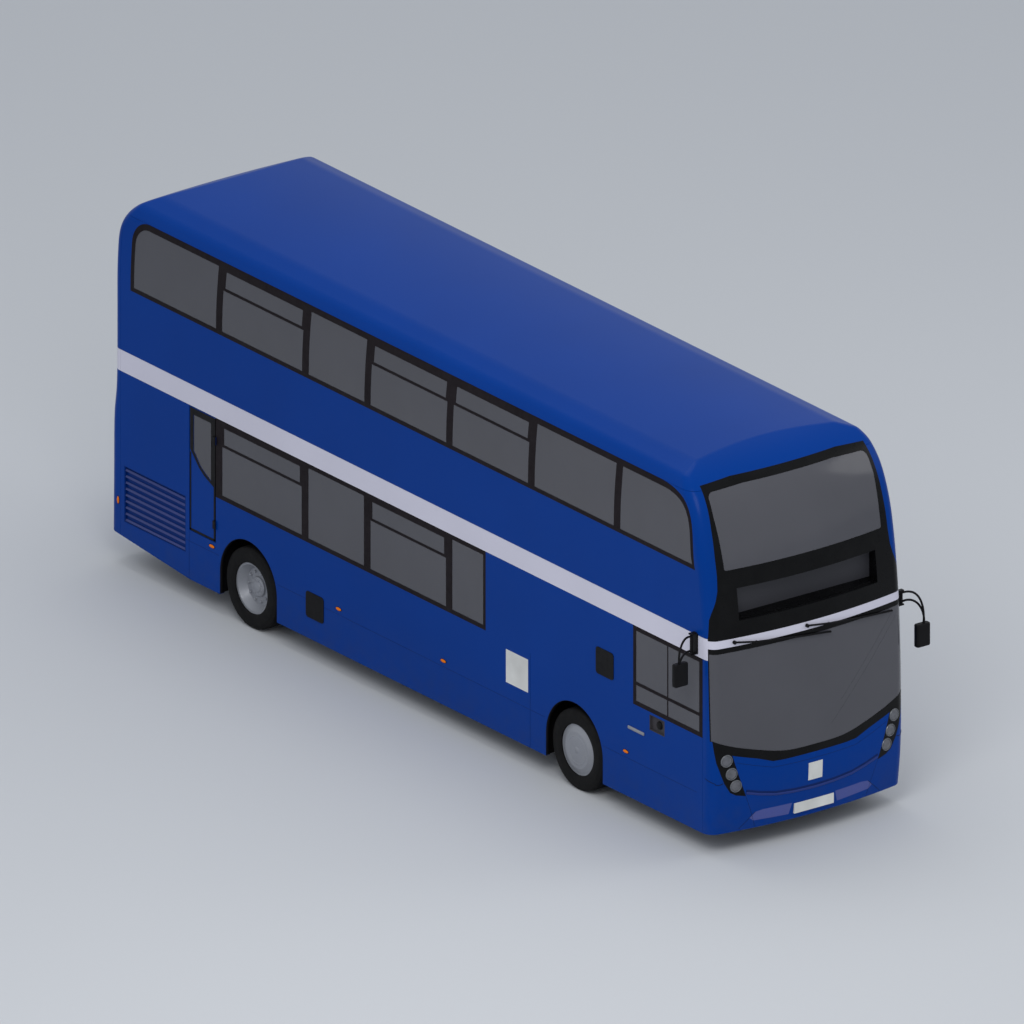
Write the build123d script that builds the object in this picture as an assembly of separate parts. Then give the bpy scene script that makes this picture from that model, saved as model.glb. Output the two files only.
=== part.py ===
from build123d import *
import math
import os

# Double-decker bus. Millimetres. +Z is up, the front faces -Y and +X is the nearside (entrance door).
# The origin is on the ground, on the centreline, at half the bus's length.

# ---- driving dimensions -------------------------------------------------------------------------
LENGTH = 10800.0
WIDTH = 2550.0
CROWN_Z = 4257.0
WHEELBASE = 5750.0
FRONT_AXLE_Y = -2820.0
REAR_AXLE_Y = FRONT_AXLE_Y + WHEELBASE
SKIRT_Z = 240.0
HALF = WIDTH / 2
WALL = 55.0
FITTING_GAP = 1.0        # between the skin and what is fixed on it
PANEL_GAP = 3.0
FAR = 6000.0             # cutting shapes reach this far along the bus
OVER = 1500.0            # and this far across it

# cross-section above the upright sides, as distance from the centreline and height
LEAN_Z = 3230.0
LEAN_MID = (1263.1, 3620.5)
LEAN_TOP = (1227.5, 4011.0)
EAVES = (1160.0, 4134.0)
CROWN_EDGE = (930.0, 4212.0)
LEAN_TOP_R = 250.0
EAVES_R = 150.0
CROWN_EDGE_R = 400.0

# profiles of the front and the rear, as height and distance from the origin
NOSE_LINE = (
    (0.0, 5290.0),
    (240.0, 5322.0),
    (500.0, 5355.0),
    (750.0, 5374.0),
    (1090.0, 5380.0),
    (1400.0, 5378.0),
    (1700.0, 5374.0),
    (2000.0, 5362.0),
    (2300.0, 5344.0),
    (2985.0, 5270.0),
    (3280.0, 5219.0),
    (3600.0, 5137.0),
    (3750.0, 5083.0),
    (3900.0, 5005.0),
    (4030.0, 4895.0),
    (4120.0, 4770.0),
    (4200.0, 4600.0),
    (4262.0, 4380.0),
    (4320.0, 4080.0),
)
TAIL_LINE = (
    (0.0, 5430.0),
    (240.0, 5428.0),
    (700.0, 5425.0),
    (1200.0, 5421.0),
    (1600.0, 5417.0),
    (1780.0, 5406.0),
    (1950.0, 5383.0),
    (2150.0, 5369.0),
    (2500.0, 5364.0),
    (3000.0, 5364.0),
    (3330.0, 5364.0),
    (3600.0, 5362.0),
    (3780.0, 5350.0),
    (3920.0, 5300.0),
    (4030.0, 5215.0),
    (4120.0, 5115.0),
    (4200.0, 4975.0),
    (4262.0, 4800.0),
    (4320.0, 4540.0),
)
NOSE_BOW = 6400.0        # plan radius of the front
TAIL_BOW = 14000.0
NOSE_CORNER = 140.0
TAIL_CORNER = 110.0

# heights
FLOOR_Z = 340.0          # top of the lower saloon floor
FLOOR_T = 40.0
REAR_FLOOR_Z = 800.0
ENGINE_DECK_Z = 1180.0
UPPER_FLOOR_Z = 2380.0
LOWER_WALL_TOP = 2227.0
STRIPE_TOP = 2471.0
UPPER_WALL_TOP = 4014.0

# panel joints along the bus
COWL_Y = -5080.0
REAR_PANEL_Y = 5190.0
TAIL_SWEEP = ((3960.0, SKIRT_Z), (5300.0, 367.0), (FAR, 440.0))

# front corner: the centre line of its rounding leans back with the nose
CORNER_X = HALF - NOSE_CORNER
CORNER_LOW = (-5133.0, 1319.0)
CORNER_HIGH = (-5099.0, 2300.0)
SCREEN_TURN = 65.0       # the windscreen's bed ends here, in degrees from straight ahead
GLASS_TURN = 60.0
SCREEN_TOP = 2358.0
GLASS_TOP = 2300.0
MASK_BOTTOM = 2449.0
MASK_BACK = -4400.0
CORNER_REACH = 2800.0    # above this height the mask keeps clear of the corner by itself

# side windows: a pane's span along the bus, and whether a tilting pane sits over it
GLASS = 8.0
GLASS_SET_BACK = 3.0
LOWER_BAND_Z = 1325.0
LOWER_GLASS_Z = (1375.0, 2175.0)
LOWER_BAR_Z = (1930.0, 1960.0)
LOWER_TILT_TOP = 2150.0
LOWER_PANES = (
    ((1991.0, 3395.0), True),
    ((893.0, 1876.0), False),
    ((-554.0, 781.0), True),
    ((-1210.0, -662.0), False),
)
NEARSIDE_PANES = (
    ((-2235.0, -1325.0), False),
    ((-3360.0, -2350.0), False),
)
LOWER_BAND_Y = {-1: (-1256.0, 3504.0), 1: (-3410.0, 3504.0)}
CAB_FRAME_Y = (COWL_Y, -3856.0)
CAB_PANE = (-5023.0, -3906.0)
CAB_BAR_Z = (1557.0, 1593.0)
CAB_DIVIDER_Y = (-4472.0, -4456.0)
UPPER_BAND_Z = (3195.0, 4011.0)
UPPER_GLASS_Z = (3243.0, 3948.0)
UPPER_BAR_Z = (3708.0, 3738.0)
UPPER_TILT_TOP = 3920.0
TILT_INSET = 32.0
UPPER_PANES = (
    ((1984.0, 3399.0), True),
    ((886.0, 1872.0), False),
    ((-557.0, 781.0), True),
    ((-2001.0, -665.0), True),
    ((-3513.0, -2113.0), False),
)
REAR_CORNER_PANE = (3503.0, 4954.0, 220.0)
REAR_BAND_END = (5011.0, 260.0)
FRONT_CORNER_PANE = -3624.0
FRONT_CORNER_CURVE = ((-4897.0, 3243.0), (-4856.0, 3480.0), (-4811.0, 3700.0), (-4699.0, 3855.0),
                      (-4500.0, 3934.0), (-4330.0, 3948.0))
FRONT_BAND_CURVE = ((-4949.0, 3195.0), (-4907.0, 3470.0), (-4860.0, 3712.0), (-4742.0, 3893.0),
                    (-4520.0, 3990.0), (-4330.0, 4011.0))
REAR_PANE_X = 880.0
REAR_PANE_Z = (3190.0, 3760.0)

# wheels
TYRE_R = 455.0
TYRE_W = 276.0
TYRE_SIDES = 48          # flats round each tyre
RIM_R = 284.0
RIM_HALF = 112.0
FRONT_TYRE_X = 1106.0
TWIN_X = (804.0, 1110.0)
ARCH_HALF = 503.0
ARCH_TOP = 1007.0
KINGPIN_X = 980.0
KINGPIN_R = 24.0
SPINDLE_R = 48.0
RUNNING = 0.05
BOX_WALL = 30.0
BOX_HALF = 560.0
BOX_TOP = 1040.0
FRONT_BOX_X = 610.0
REAR_BOX_X = 560.0
REAR_BOX_END = REAR_AXLE_Y + BOX_HALF
STEER_ARM = 140.0
TRACK_ROD_Z = 268.0
TRACK_PIN_R = 12.0

# rails and cross-members
RAIL_X = (430.0, 510.0)
RAIL_Z = (225.0, 298.0)
RAIL_SPANS = ((-5130.0, -2775.0), (-2610.0, 5150.0))
CROSS_Z = (240.0, 298.0)
CROSS_HALF = 40.0
CROSS_REACH = 1100.0
CROSS_Y = (-5050.0, -4000.0, -2100.0, -1000.0, 200.0, 1400.0, 2200.0, 3600.0, 5050.0)
EYE_X = 300.0
EYE_Y = -5210.0
EYE_Z = (243.0, 263.0)
EYE_R = 20.0

# doors, covers and mirrors
DOOR_Y = (-4960.0, -3560.0)
DOOR_Z = (345.0, 2190.0)
DOOR_GAP = 10.0
LEAF = 42.0
DOOR_HINGE_X = HALF - 82.0
DOOR_HINGE_IN = 55.0
DOOR_POST_R = 15.0
EXIT_Y = (3504.0, 3975.0)
EXIT_Z = (800.0, 2224.0)
EXIT_HINGE = (-1290.0, 3500.0)
COVER_X = 960.0
COVER_Z = (430.0, 1240.0)
COVER_HINGE = (5434.0, 1264.0)
MIRROR_X = HALF + 58.0
MIRROR_Y = {-1: -4960.0, 1: -5108.0}

# front details
LAMP_CENTRES = ((1107.0, 1085.0), (1050.0, 927.0), (996.0, 779.0))
LAMP_LENS_R = 58.0
DISPLAY_HALF = 915.0
DISPLAY_Z = (2629.0, 2985.0)
DISPLAY_FACE_Y = -5100.0
DISPLAY_LEDGE = 22.0

# side details
GRILLE_Y = (4036.0, 5121.0)
GRILLE_Z = (525.0, 1165.0)
FILLER_Y = (-4412.0, -4145.0)
FILLER_Z = (1121.0, 1297.0)
FILLER_DEPTH = 35.0

# inside
STAIR_Y = -3370.0
STAIR_GOING = 230.0
STAIR_RISE = (UPPER_FLOOR_Z - FLOOR_Z) / 9
STAIR_IN = 640.0
AISLE = 330.0
SEAT_OUT = 1205.0

OUT = "parts"
os.makedirs(OUT, exist_ok=True)


# ---- small helpers ------------------------------------------------------------------------------
def block(x, y, z):
    """A box between the low and high values of each axis."""
    size = (x[1] - x[0], y[1] - y[0], z[1] - z[0])
    centre = ((x[0] + x[1]) / 2, (y[0] + y[1]) / 2, (z[0] + z[1]) / 2)
    return Pos(*centre) * Box(*size)


def side_block(side, x, y, z):
    """A box whose X values are distances from the centreline, on one side."""
    return block(sorted((side * x[0], side * x[1])), y, z)


def rod(start, end, radius):
    """A round bar from one point to another."""
    path = Edge.make_line(start, end)
    plane = Plane(origin=start, z_dir=path.tangent_at(0))
    return extrude(plane * Circle(radius), amount=path.length)


def prism_xz(points, y):
    """An outline in X and Z carried along Y."""
    face = Plane.XZ * Polygon(*points, align=None)
    return extrude(face, amount=y[1] - y[0], dir=(0, 1, 0)).translate((0, y[0], 0))


def prism_yz(points, x):
    """An outline in Y and Z carried along X."""
    face = Plane.YZ * Polygon(*points, align=None)
    return extrude(face, amount=x[1] - x[0], dir=(1, 0, 0)).translate((x[0], 0, 0))


def save(node, *shapes):
    """Write one node as one STEP file."""
    solids = []
    for shape in shapes:
        solids.extend(shape.solids())
    whole = solids[0] if len(solids) == 1 else Compound(children=solids)
    export_step(whole, os.path.join(OUT, node + ".step"))


# ---- outer form ---------------------------------------------------------------------------------
def end_cutter(line, side, bow, inset):
    """What lies beyond the front or the rear: a ring turned about an upright axis."""
    axis_y = side * (LENGTH / 2 - bow)
    pts = []
    for height, reach in line:
        pts.append((side * (reach - inset), height))
    far = side * (LENGTH / 2 + 1500)
    with BuildSketch(Plane.YZ) as outline:
        with BuildLine():
            Spline(*pts)
            Polyline(pts[-1], (far, pts[-1][1]), (far, pts[0][1]), pts[0])
        make_face()
    axis = Axis((0, axis_y, 0), (0, 0, 1))
    sweep_deg = 40.0
    turned = revolve(outline.sketch, axis=axis, revolution_arc=sweep_deg)
    return turned.rotate(axis, -sweep_deg / 2)


def section(inset, bottom):
    """The cross-section: upright sides, a slow lean inwards, soft eaves and a low crown."""
    def left(point):
        return (-point[0], point[1])

    low = bottom - inset
    with BuildLine() as outline:
        Polyline((-HALF, LEAN_Z), (-HALF, low), (HALF, low), (HALF, LEAN_Z))
        ThreePointArc((HALF, LEAN_Z), LEAN_MID, LEAN_TOP)
        Polyline(LEAN_TOP, EAVES, CROWN_EDGE)
        ThreePointArc(CROWN_EDGE, (0, CROWN_Z), left(CROWN_EDGE))
        Polyline(left(CROWN_EDGE), left(EAVES), left(LEAN_TOP))
        ThreePointArc(left(LEAN_TOP), left(LEAN_MID), (-HALF, LEAN_Z))
    face = Sketch() + make_face(outline.line)
    for height, radius in ((LEAN_TOP[1], LEAN_TOP_R), (EAVES[1], EAVES_R), (CROWN_EDGE[1], CROWN_EDGE_R)):
        corners = [v for v in face.vertices() if abs(v.Y - height) < 1]
        face = fillet(corners, radius)
    if inset:
        face = offset(face, -inset, kind=Kind.INTERSECTION)
    return face


def form(inset, bottom):
    """The bus's whole outer volume, drawn in by the inset."""
    body = extrude(Plane.XZ * section(inset, bottom), amount=LENGTH / 2 + 300, both=True)
    body -= end_cutter(NOSE_LINE, -1, NOSE_BOW, inset)
    body -= end_cutter(TAIL_LINE, 1, TAIL_BOW, inset)
    body = body.solid()
    for side, radius in ((-1, NOSE_CORNER), (1, TAIL_CORNER)):
        ends = [f for f in body.faces() if f.geom_type not in (GeomType.PLANE, GeomType.CYLINDER)]
        ends = [f for f in ends if f.center().Y * side > 4300]
        face = max(ends, key=lambda f: f.area)
        edges = [e for e in face.edges() if e.center().Z > bottom + 5]
        body = body.fillet(radius - inset, edges)
    return body


def nose_reach(height):
    """How far ahead of the origin the front stands on the centreline at a height."""
    for low, high in zip(NOSE_LINE, NOSE_LINE[1:]):
        if height <= high[0]:
            share = (height - low[0]) / (high[0] - low[0])
            return low[1] + share * (high[1] - low[1])
    return NOSE_LINE[-1][1]


def nose_y(x, height):
    """Y of the front surface at a place across the bus and a height."""
    radius = nose_reach(height) - LENGTH / 2 + NOSE_BOW
    return NOSE_BOW - LENGTH / 2 - math.sqrt(radius * radius - x * x)


OUTER = form(0.0, SKIRT_Z)
INNER = form(WALL, SKIRT_Z - 100)
SHELL = OUTER - INNER
PANE_SHELL = form(GLASS_SET_BACK, SKIRT_Z) - form(GLASS_SET_BACK + GLASS, SKIRT_Z - 100)
FITTING_BED = form(-FITTING_GAP, SKIRT_Z)


def shell_part(x, y, z):
    """The stretch of the body shell that lies in a box."""
    return SHELL & block(x, y, z)


def tail_rise():
    """The wedge under the tail, where the skirt sweeps up."""
    below = SKIRT_Z - 50
    first, last = TAIL_SWEEP[0], TAIL_SWEEP[-1]
    outline = ((first[0], below), (last[0], below)) + tuple(reversed(TAIL_SWEEP))
    return prism_yz(outline, (-OVER, OVER))


def arch_cutter(axle_y):
    """A wheel arch: upright sides under a half circle."""
    centre_z = ARCH_TOP - ARCH_HALF
    upper = Pos(0, axle_y, centre_z) * Rot(0, 90, 0) * Cylinder(ARCH_HALF, 2 * OVER)
    lower = block((-OVER, OVER), (axle_y - ARCH_HALF, axle_y + ARCH_HALF), (SKIRT_Z - 50, centre_z))
    return upper + lower


# ---- outlines on the front ----------------------------------------------------------------------
def mirrored(points):
    """An outline given for +X only, closed through its mirror image."""
    return list(points) + [(-x, z) for x, z in reversed(points)]


def past_corner(turn_deg):
    """All that lies beyond a line round each front corner, at a turn from straight ahead."""
    turn = math.radians(turn_deg)
    base = Vector(CORNER_X, CORNER_LOW[0], CORNER_LOW[1])
    along = Vector(0, CORNER_HIGH[0] - CORNER_LOW[0], CORNER_HIGH[1] - CORNER_LOW[1])
    outward = Vector(math.sin(turn), -math.cos(turn), 0)
    plane = Plane(origin=base, x_dir=outward, z_dir=along.cross(outward))
    beyond = plane * Pos(0, 0, FAR) * Box(2 * FAR, 2 * FAR, 2 * FAR)
    return beyond + beyond.mirror(Plane.YZ)


def mask_prism(beyond):
    """The black mask round the upper windscreen and the destination display."""
    outline = mirrored(((1262.0, MASK_BOTTOM), (1256.0, 2500.0), (1252.0, 2560.0), (1244.0, 2680.0),
                        (1224.0, 2752.0), (1171.0, 2884.0), (1142.0, 2990.0), (1130.0, 3150.0),
                        (1129.0, 3343.0), (1116.0, 3650.0), (1095.0, 3917.0), (1080.0, 4052.0),
                        (700.0, 4082.0)))
    corner = beyond & block((-OVER, OVER), (-FAR, FAR), (2000.0, CORNER_REACH))
    return prism_xz(outline, (-FAR, MASK_BACK)) - corner


def sagging_prism(points, top, beyond):
    """All that stands above a lower edge and below a height, between the front corners."""
    end_z = points[-1][1]
    with BuildSketch(Plane.XZ) as outline:
        with BuildLine():
            Spline(*points)
            Polyline(points[-1], (OVER, end_z), (OVER, top), (-OVER, top), (-OVER, end_z), points[0])
        make_face()
    return extrude(outline.sketch, amount=FAR) & block((-OVER, OVER), (-FAR, -4700.0), (0, FAR)) - beyond


def screen_bed(beyond):
    """The black bed of the windscreen, down to the bonnet panel's smiling edge."""
    half = ((0.0, 966.0), (410.0, 967.0), (550.0, 976.0), (730.0, 1042.0), (1000.0, 1120.0),
            (1080.0, 1150.0), (1200.0, 1296.0), (1236.0, 1316.0), (OVER, 1316.0))
    low = [(-x, z) for x, z in reversed(half)] + list(half[1:])
    outline = low + [(OVER, SCREEN_TOP), (-OVER, SCREEN_TOP)]
    return prism_xz(outline, (-FAR, -4700.0)) - beyond


def screen_glass(beyond):
    """The windscreen's own outline inside its bed."""
    half = ((0.0, 1053.0), (400.0, 1066.0), (730.0, 1142.0), (1000.0, 1222.0), (1242.0, 1319.0))
    points = [(-x, z) for x, z in reversed(half)] + list(half[1:])
    return sagging_prism(points, GLASS_TOP, beyond)


def upper_screen_prism():
    """The upper windscreen's outline, with rounded top corners."""
    pts = mirrored(((1037.0, 3190.0), (1044.0, 3411.0), (1060.0, 3766.0), (1046.0, 3985.0),
                    (600.0, 4012.0)))
    face = Sketch() + Polygon(*pts, align=None)
    face = fillet([v for v in face.vertices() if abs(v.Y - 3985.0) < 1], 75.0)
    face = fillet([v for v in face.vertices() if abs(v.Y - 3190.0) < 1], 25.0)
    return extrude(Plane.XZ * face, amount=FAR) & block((-OVER, OVER), (-FAR, -4500), (0, FAR))


def lamp_outline():
    """The nearside front lamp cluster, a crescent from the windscreen's corner to the bumper."""
    return ((1250.0, 1335.0), (1236.0, 1191.0), (1219.0, 1075.0), (1174.0, 933.0), (1134.0, 830.0),
            (1062.0, 712.0), (991.0, 669.0), (870.0, 638.0), (932.0, 803.0), (988.0, 972.0),
            (1036.0, 1120.0), (1060.0, 1250.0))


def insert_outline(side):
    """One pale insert low in the front bumper."""
    pts = ((810.0, 368.0), (744.0, 427.0), (650.0, 440.0), (285.0, 433.0), (320.0, 308.0),
           (760.0, 330.0))
    return [(side * x, z) for x, z in pts]


BEYOND = past_corner(SCREEN_TURN)
MASK_PRISM = mask_prism(BEYOND)
LAMP_PRISM = prism_xz(lamp_outline(), (-FAR, -5140.0))
LAMP_PRISMS = [LAMP_PRISM, LAMP_PRISM.mirror(Plane.YZ)]
INSERT_PRISMS = [prism_xz(insert_outline(side), (-FAR, -4900.0)) for side in (-1, 1)]
SCREEN_BED = screen_bed(BEYOND)
SCREEN_GLASS = screen_glass(past_corner(GLASS_TURN))
UPPER_SCREEN = upper_screen_prism()


# ---- side windows -------------------------------------------------------------------------------
def window_prisms(panes, glass_z, bar_z, tilt_top):
    """The outlines of a row of panes; where the top pane tilts, it is a little narrower."""
    cuts = []
    reach = (-OVER, OVER)
    for span, tilts in panes:
        if tilts:
            inner = (span[0] + TILT_INSET, span[1] - TILT_INSET)
            cuts.append(block(reach, span, (glass_z[0], bar_z[0])))
            cuts.append(block(reach, inner, (bar_z[1], tilt_top)))
        else:
            cuts.append(block(reach, span, glass_z))
    return cuts


def lower_window_prisms(side):
    """Every pane of one side of the lower saloon, with the driver's window on the offside."""
    panes = LOWER_PANES if side < 0 else LOWER_PANES + NEARSIDE_PANES
    cuts = window_prisms(panes, LOWER_GLASS_Z, LOWER_BAR_Z, LOWER_TILT_TOP)
    if side < 0:
        reach = (-OVER, OVER)
        cuts.append(block(reach, CAB_PANE, (LOWER_GLASS_Z[0], CAB_BAR_Z[0])))
        cuts.append(block(reach, (CAB_PANE[0], CAB_DIVIDER_Y[0]), (CAB_BAR_Z[1], LOWER_GLASS_Z[1])))
        cuts.append(block(reach, (CAB_DIVIDER_Y[1], CAB_PANE[1]), (CAB_BAR_Z[1], LOWER_GLASS_Z[1])))
    return cuts


def swept_prism(face):
    """A face drawn in Y and Z, carried right across the bus."""
    return extrude(face, amount=OVER, both=True)


def front_corner_prism(curve, back):
    """The foremost upper pane, whose front edge sweeps up and back."""
    with BuildSketch(Plane.YZ) as outline:
        with BuildLine():
            Spline(*curve)
            Polyline(curve[-1], (back, curve[-1][1]), (back, curve[0][1]), curve[0])
        make_face()
    return swept_prism(outline.sketch)


def rear_corner_prism(front, rear, z, radius):
    """The rearmost upper pane, with one large rounded corner."""
    shoulder = radius * (1 - math.sqrt(0.5))
    with BuildSketch(Plane.YZ) as outline:
        with BuildLine():
            ThreePointArc((rear, z[1] - radius), (rear - shoulder, z[1] - shoulder), (rear - radius, z[1]))
            Polyline((rear - radius, z[1]), (front, z[1]), (front, z[0]), (rear, z[0]),
                     (rear, z[1] - radius))
        make_face()
    return swept_prism(outline.sketch)


def upper_window_prisms():
    """Every pane of the upper saloon's sides."""
    cuts = window_prisms(UPPER_PANES, UPPER_GLASS_Z, UPPER_BAR_Z, UPPER_TILT_TOP)
    front, rear, radius = REAR_CORNER_PANE
    cuts.append(rear_corner_prism(front, rear, UPPER_GLASS_Z, radius))
    cuts.append(front_corner_prism(FRONT_CORNER_CURVE, FRONT_CORNER_PANE))
    return cuts


def upper_band_prism():
    """The black window band of the upper saloon, rounded at both ends."""
    rear, radius = REAR_BAND_END
    band = rear_corner_prism(-2000.0, rear, UPPER_BAND_Z, radius)
    return band + front_corner_prism(FRONT_BAND_CURVE, -1900.0)


LOWER_WINDOWS = {side: lower_window_prisms(side) for side in (-1, 1)}
UPPER_WINDOWS = upper_window_prisms()
UPPER_BAND = upper_band_prism()


# ---- body panels --------------------------------------------------------------------------------
def lower_wall(side):
    """One side of the lower saloon, from the cowl to the rear corner panel."""
    thick = (HALF - WALL, HALF)
    cut = (HALF - 200.0, OVER)
    wall = side_block(side, thick, (COWL_Y, REAR_PANEL_Y - PANEL_GAP), (SKIRT_Z, LOWER_WALL_TOP - PANEL_GAP))
    wall -= tail_rise()
    for axle_y in (FRONT_AXLE_Y, REAR_AXLE_Y):
        wall -= arch_cutter(axle_y)
    wall -= side_block(side, cut, LOWER_BAND_Y[side], (LOWER_BAND_Z, FAR))
    wall -= side_block(side, cut, GRILLE_Y, GRILLE_Z)
    if side < 0:
        wall -= side_block(side, cut, (CAB_FRAME_Y[0] - 10, CAB_FRAME_Y[1]), (LOWER_BAND_Z, FAR))
        wall -= side_block(side, cut, EXIT_Y, (EXIT_Z[0], FAR))
        wall -= side_block(side, (HALF - FILLER_DEPTH, OVER), FILLER_Y, FILLER_Z)
    else:
        wall -= side_block(side, cut, DOOR_Y, DOOR_Z)
    return wall


def upper_wall(side):
    """One side of the upper saloon, round the front corner to the mask."""
    x = sorted((side * OVER, side * 900.0))
    wall = shell_part(x, (-FAR, REAR_PANEL_Y - PANEL_GAP), (STRIPE_TOP, UPPER_WALL_TOP - PANEL_GAP))
    return wall - MASK_PRISM - UPPER_BAND


def window_frames():
    """The black bands that carry the side windows: two rows and the driver's window."""
    frames = []
    for side in (-1, 1):
        thick = (HALF - WALL, HALF)
        z = (LOWER_BAND_Z, LOWER_WALL_TOP - PANEL_GAP)
        frames.append(side_block(side, thick, LOWER_BAND_Y[side], z) - LOWER_WINDOWS[side])
        if side < 0:
            frames.append(side_block(side, thick, CAB_FRAME_Y, z) - LOWER_WINDOWS[side])
        upper = SHELL & side_block(side, (1100.0, OVER), (-FAR, FAR), UPPER_BAND_Z) & UPPER_BAND
        frames.append(upper - UPPER_WINDOWS)
    return frames


def roof():
    """The roof skin with its coved edges."""
    skin = shell_part((-OVER, OVER), (-FAR, FAR), (UPPER_WALL_TOP, CROWN_Z + 50))
    return skin - MASK_PRISM


def stripe_panels():
    """The pale band between the decks: two sides that turn the front corners, the front and the rear."""
    z = (LOWER_WALL_TOP, STRIPE_TOP - PANEL_GAP)
    rear = shell_part((-OVER, OVER), (REAR_PANEL_Y, FAR), z)
    front = shell_part((-OVER, OVER), (-FAR, -5000.0), (SCREEN_TOP, MASK_BOTTOM - PANEL_GAP)) - BEYOND
    sides = []
    for side in (-1, 1):
        panel = SHELL & side_block(side, (1100.0, OVER), (-FAR, REAR_PANEL_Y - PANEL_GAP), z)
        sides.append((panel & BEYOND) - MASK_PRISM)
    return sides + [front, rear]


def rear_lower_wall():
    """The rear panel of the lower deck, with the engine cover's opening."""
    wall = shell_part((-OVER, OVER), (REAR_PANEL_Y, FAR), (SKIRT_Z, LOWER_WALL_TOP - PANEL_GAP))
    wall -= tail_rise()
    wall -= block((-COVER_X - DOOR_GAP, COVER_X + DOOR_GAP), (REAR_PANEL_Y - 100, FAR),
                  (COVER_Z[0] - DOOR_GAP, COVER_Z[1] + DOOR_GAP))
    return wall


def rear_upper_wall():
    """The rear panel of the upper deck, with the emergency window's opening."""
    wall = shell_part((-OVER, OVER), (REAR_PANEL_Y, FAR), (STRIPE_TOP, UPPER_WALL_TOP - PANEL_GAP))
    return wall - block((-REAR_PANE_X, REAR_PANE_X), (REAR_PANEL_Y - 100, FAR), REAR_PANE_Z)


def front_cowl():
    """The lower front: bumper, bonnet panel and the posts beside the windscreen."""
    cowl = shell_part((-OVER, OVER), (-FAR, COWL_Y - PANEL_GAP), (SKIRT_Z, LOWER_WALL_TOP - PANEL_GAP))
    cowl -= SCREEN_BED
    for prism in LAMP_PRISMS + INSERT_PRISMS:
        cowl -= prism
    return cowl


def front_mask():
    """The upper mask, and the frame round the windscreen."""
    skin = SHELL & block((-OVER, OVER), (-FAR, MASK_BACK), (MASK_BOTTOM, 4200.0)) & MASK_PRISM
    skin -= UPPER_SCREEN
    skin -= block((-DISPLAY_HALF, DISPLAY_HALF), (-FAR, -4900.0), DISPLAY_Z)
    frame = SHELL & block((-OVER, OVER), (-FAR, -5000.0), (900.0, SCREEN_TOP - PANEL_GAP)) & SCREEN_BED
    frame -= SCREEN_GLASS
    for prism in LAMP_PRISMS:
        frame -= prism
    return skin, frame


# ---- glass --------------------------------------------------------------------------------------
def side_glass():
    """Panes of both saloons' sides, and the rear emergency window."""
    panes = []
    flat_x = (HALF - GLASS_SET_BACK - GLASS, HALF - GLASS_SET_BACK)
    low = (LOWER_GLASS_Z[0] - 50, LOWER_WALL_TOP)
    for side in (-1, 1):
        sheet = side_block(side, flat_x, (-FAR, FAR), low)
        for prism in LOWER_WINDOWS[side]:
            panes.append(sheet & prism)
        skin = PANE_SHELL & side_block(side, (1100.0, OVER), (-FAR, FAR), UPPER_GLASS_Z)
        for prism in UPPER_WINDOWS:
            panes.append(skin & prism)
    rear = block((-REAR_PANE_X, REAR_PANE_X), (REAR_PANEL_Y - 100, FAR), REAR_PANE_Z)
    panes.append(PANE_SHELL & rear)
    return panes


# ---- floors and inside --------------------------------------------------------------------------
def lower_floor():
    """The low floor, its rear platform, and the deck over the engine."""
    inside = HALF - WALL
    under = FLOOR_Z - FLOOR_T
    rear = prism_yz(((REAR_BOX_END, under), (REAR_BOX_END + 40, under),
                     (REAR_BOX_END + 40, REAR_FLOOR_Z - FLOOR_T), (4080.0, REAR_FLOOR_Z - FLOOR_T),
                     (4080.0, ENGINE_DECK_Z - FLOOR_T), (5300.0, ENGINE_DECK_Z - FLOOR_T),
                     (5300.0, ENGINE_DECK_Z), (4040.0, ENGINE_DECK_Z), (4040.0, REAR_FLOOR_Z),
                     (REAR_BOX_END, REAR_FLOOR_Z)), (-inside, inside))
    front_edge = mirrored(((inside, REAR_BOX_END), (inside, -4990.0), (1000.0, -5170.0)))
    flat = extrude(Polygon(*front_edge, align=None), FLOOR_T, dir=(0, 0, 1)).translate((0, 0, under))
    for side in (-1, 1):
        for axle_y, inner_x in ((FRONT_AXLE_Y, FRONT_BOX_X), (REAR_AXLE_Y, REAR_BOX_X)):
            span = (axle_y - BOX_HALF, axle_y + BOX_HALF)
            flat -= side_block(side, (inner_x, OVER), span, (0, FLOOR_Z + 10))
    return (flat + rear) & INNER


def wheel_boxes():
    """Four housings, open to the road and to the outside, over the wheels."""
    boxes = []
    for side in (-1, 1):
        for axle_y, inner_x in ((FRONT_AXLE_Y, FRONT_BOX_X), (REAR_AXLE_Y, REAR_BOX_X)):
            y = (axle_y - BOX_HALF, axle_y + BOX_HALF)
            hollow_y = (y[0] + BOX_WALL, y[1] - BOX_WALL)
            box = side_block(side, (inner_x, HALF - WALL), y, (SKIRT_Z, BOX_TOP))
            box -= side_block(side, (inner_x + BOX_WALL, OVER), hollow_y, (0, BOX_TOP - BOX_WALL))
            box -= side_block(side, (0, OVER), hollow_y, (0, FLOOR_Z - FLOOR_T))
            boxes.append(box)
    return boxes


def upper_floor():
    """The upper deck, with the stairwell's opening."""
    inside = HALF - WALL - 5
    slab = block((-inside, inside), (-5000.0, 5180.0), (UPPER_FLOOR_Z - 80, UPPER_FLOOR_Z))
    slab -= block((-OVER, -STAIR_IN + 20), (STAIR_Y - 300, STAIR_Y + 6 * STAIR_GOING), (2000, 2500))
    return slab & INNER


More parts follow.
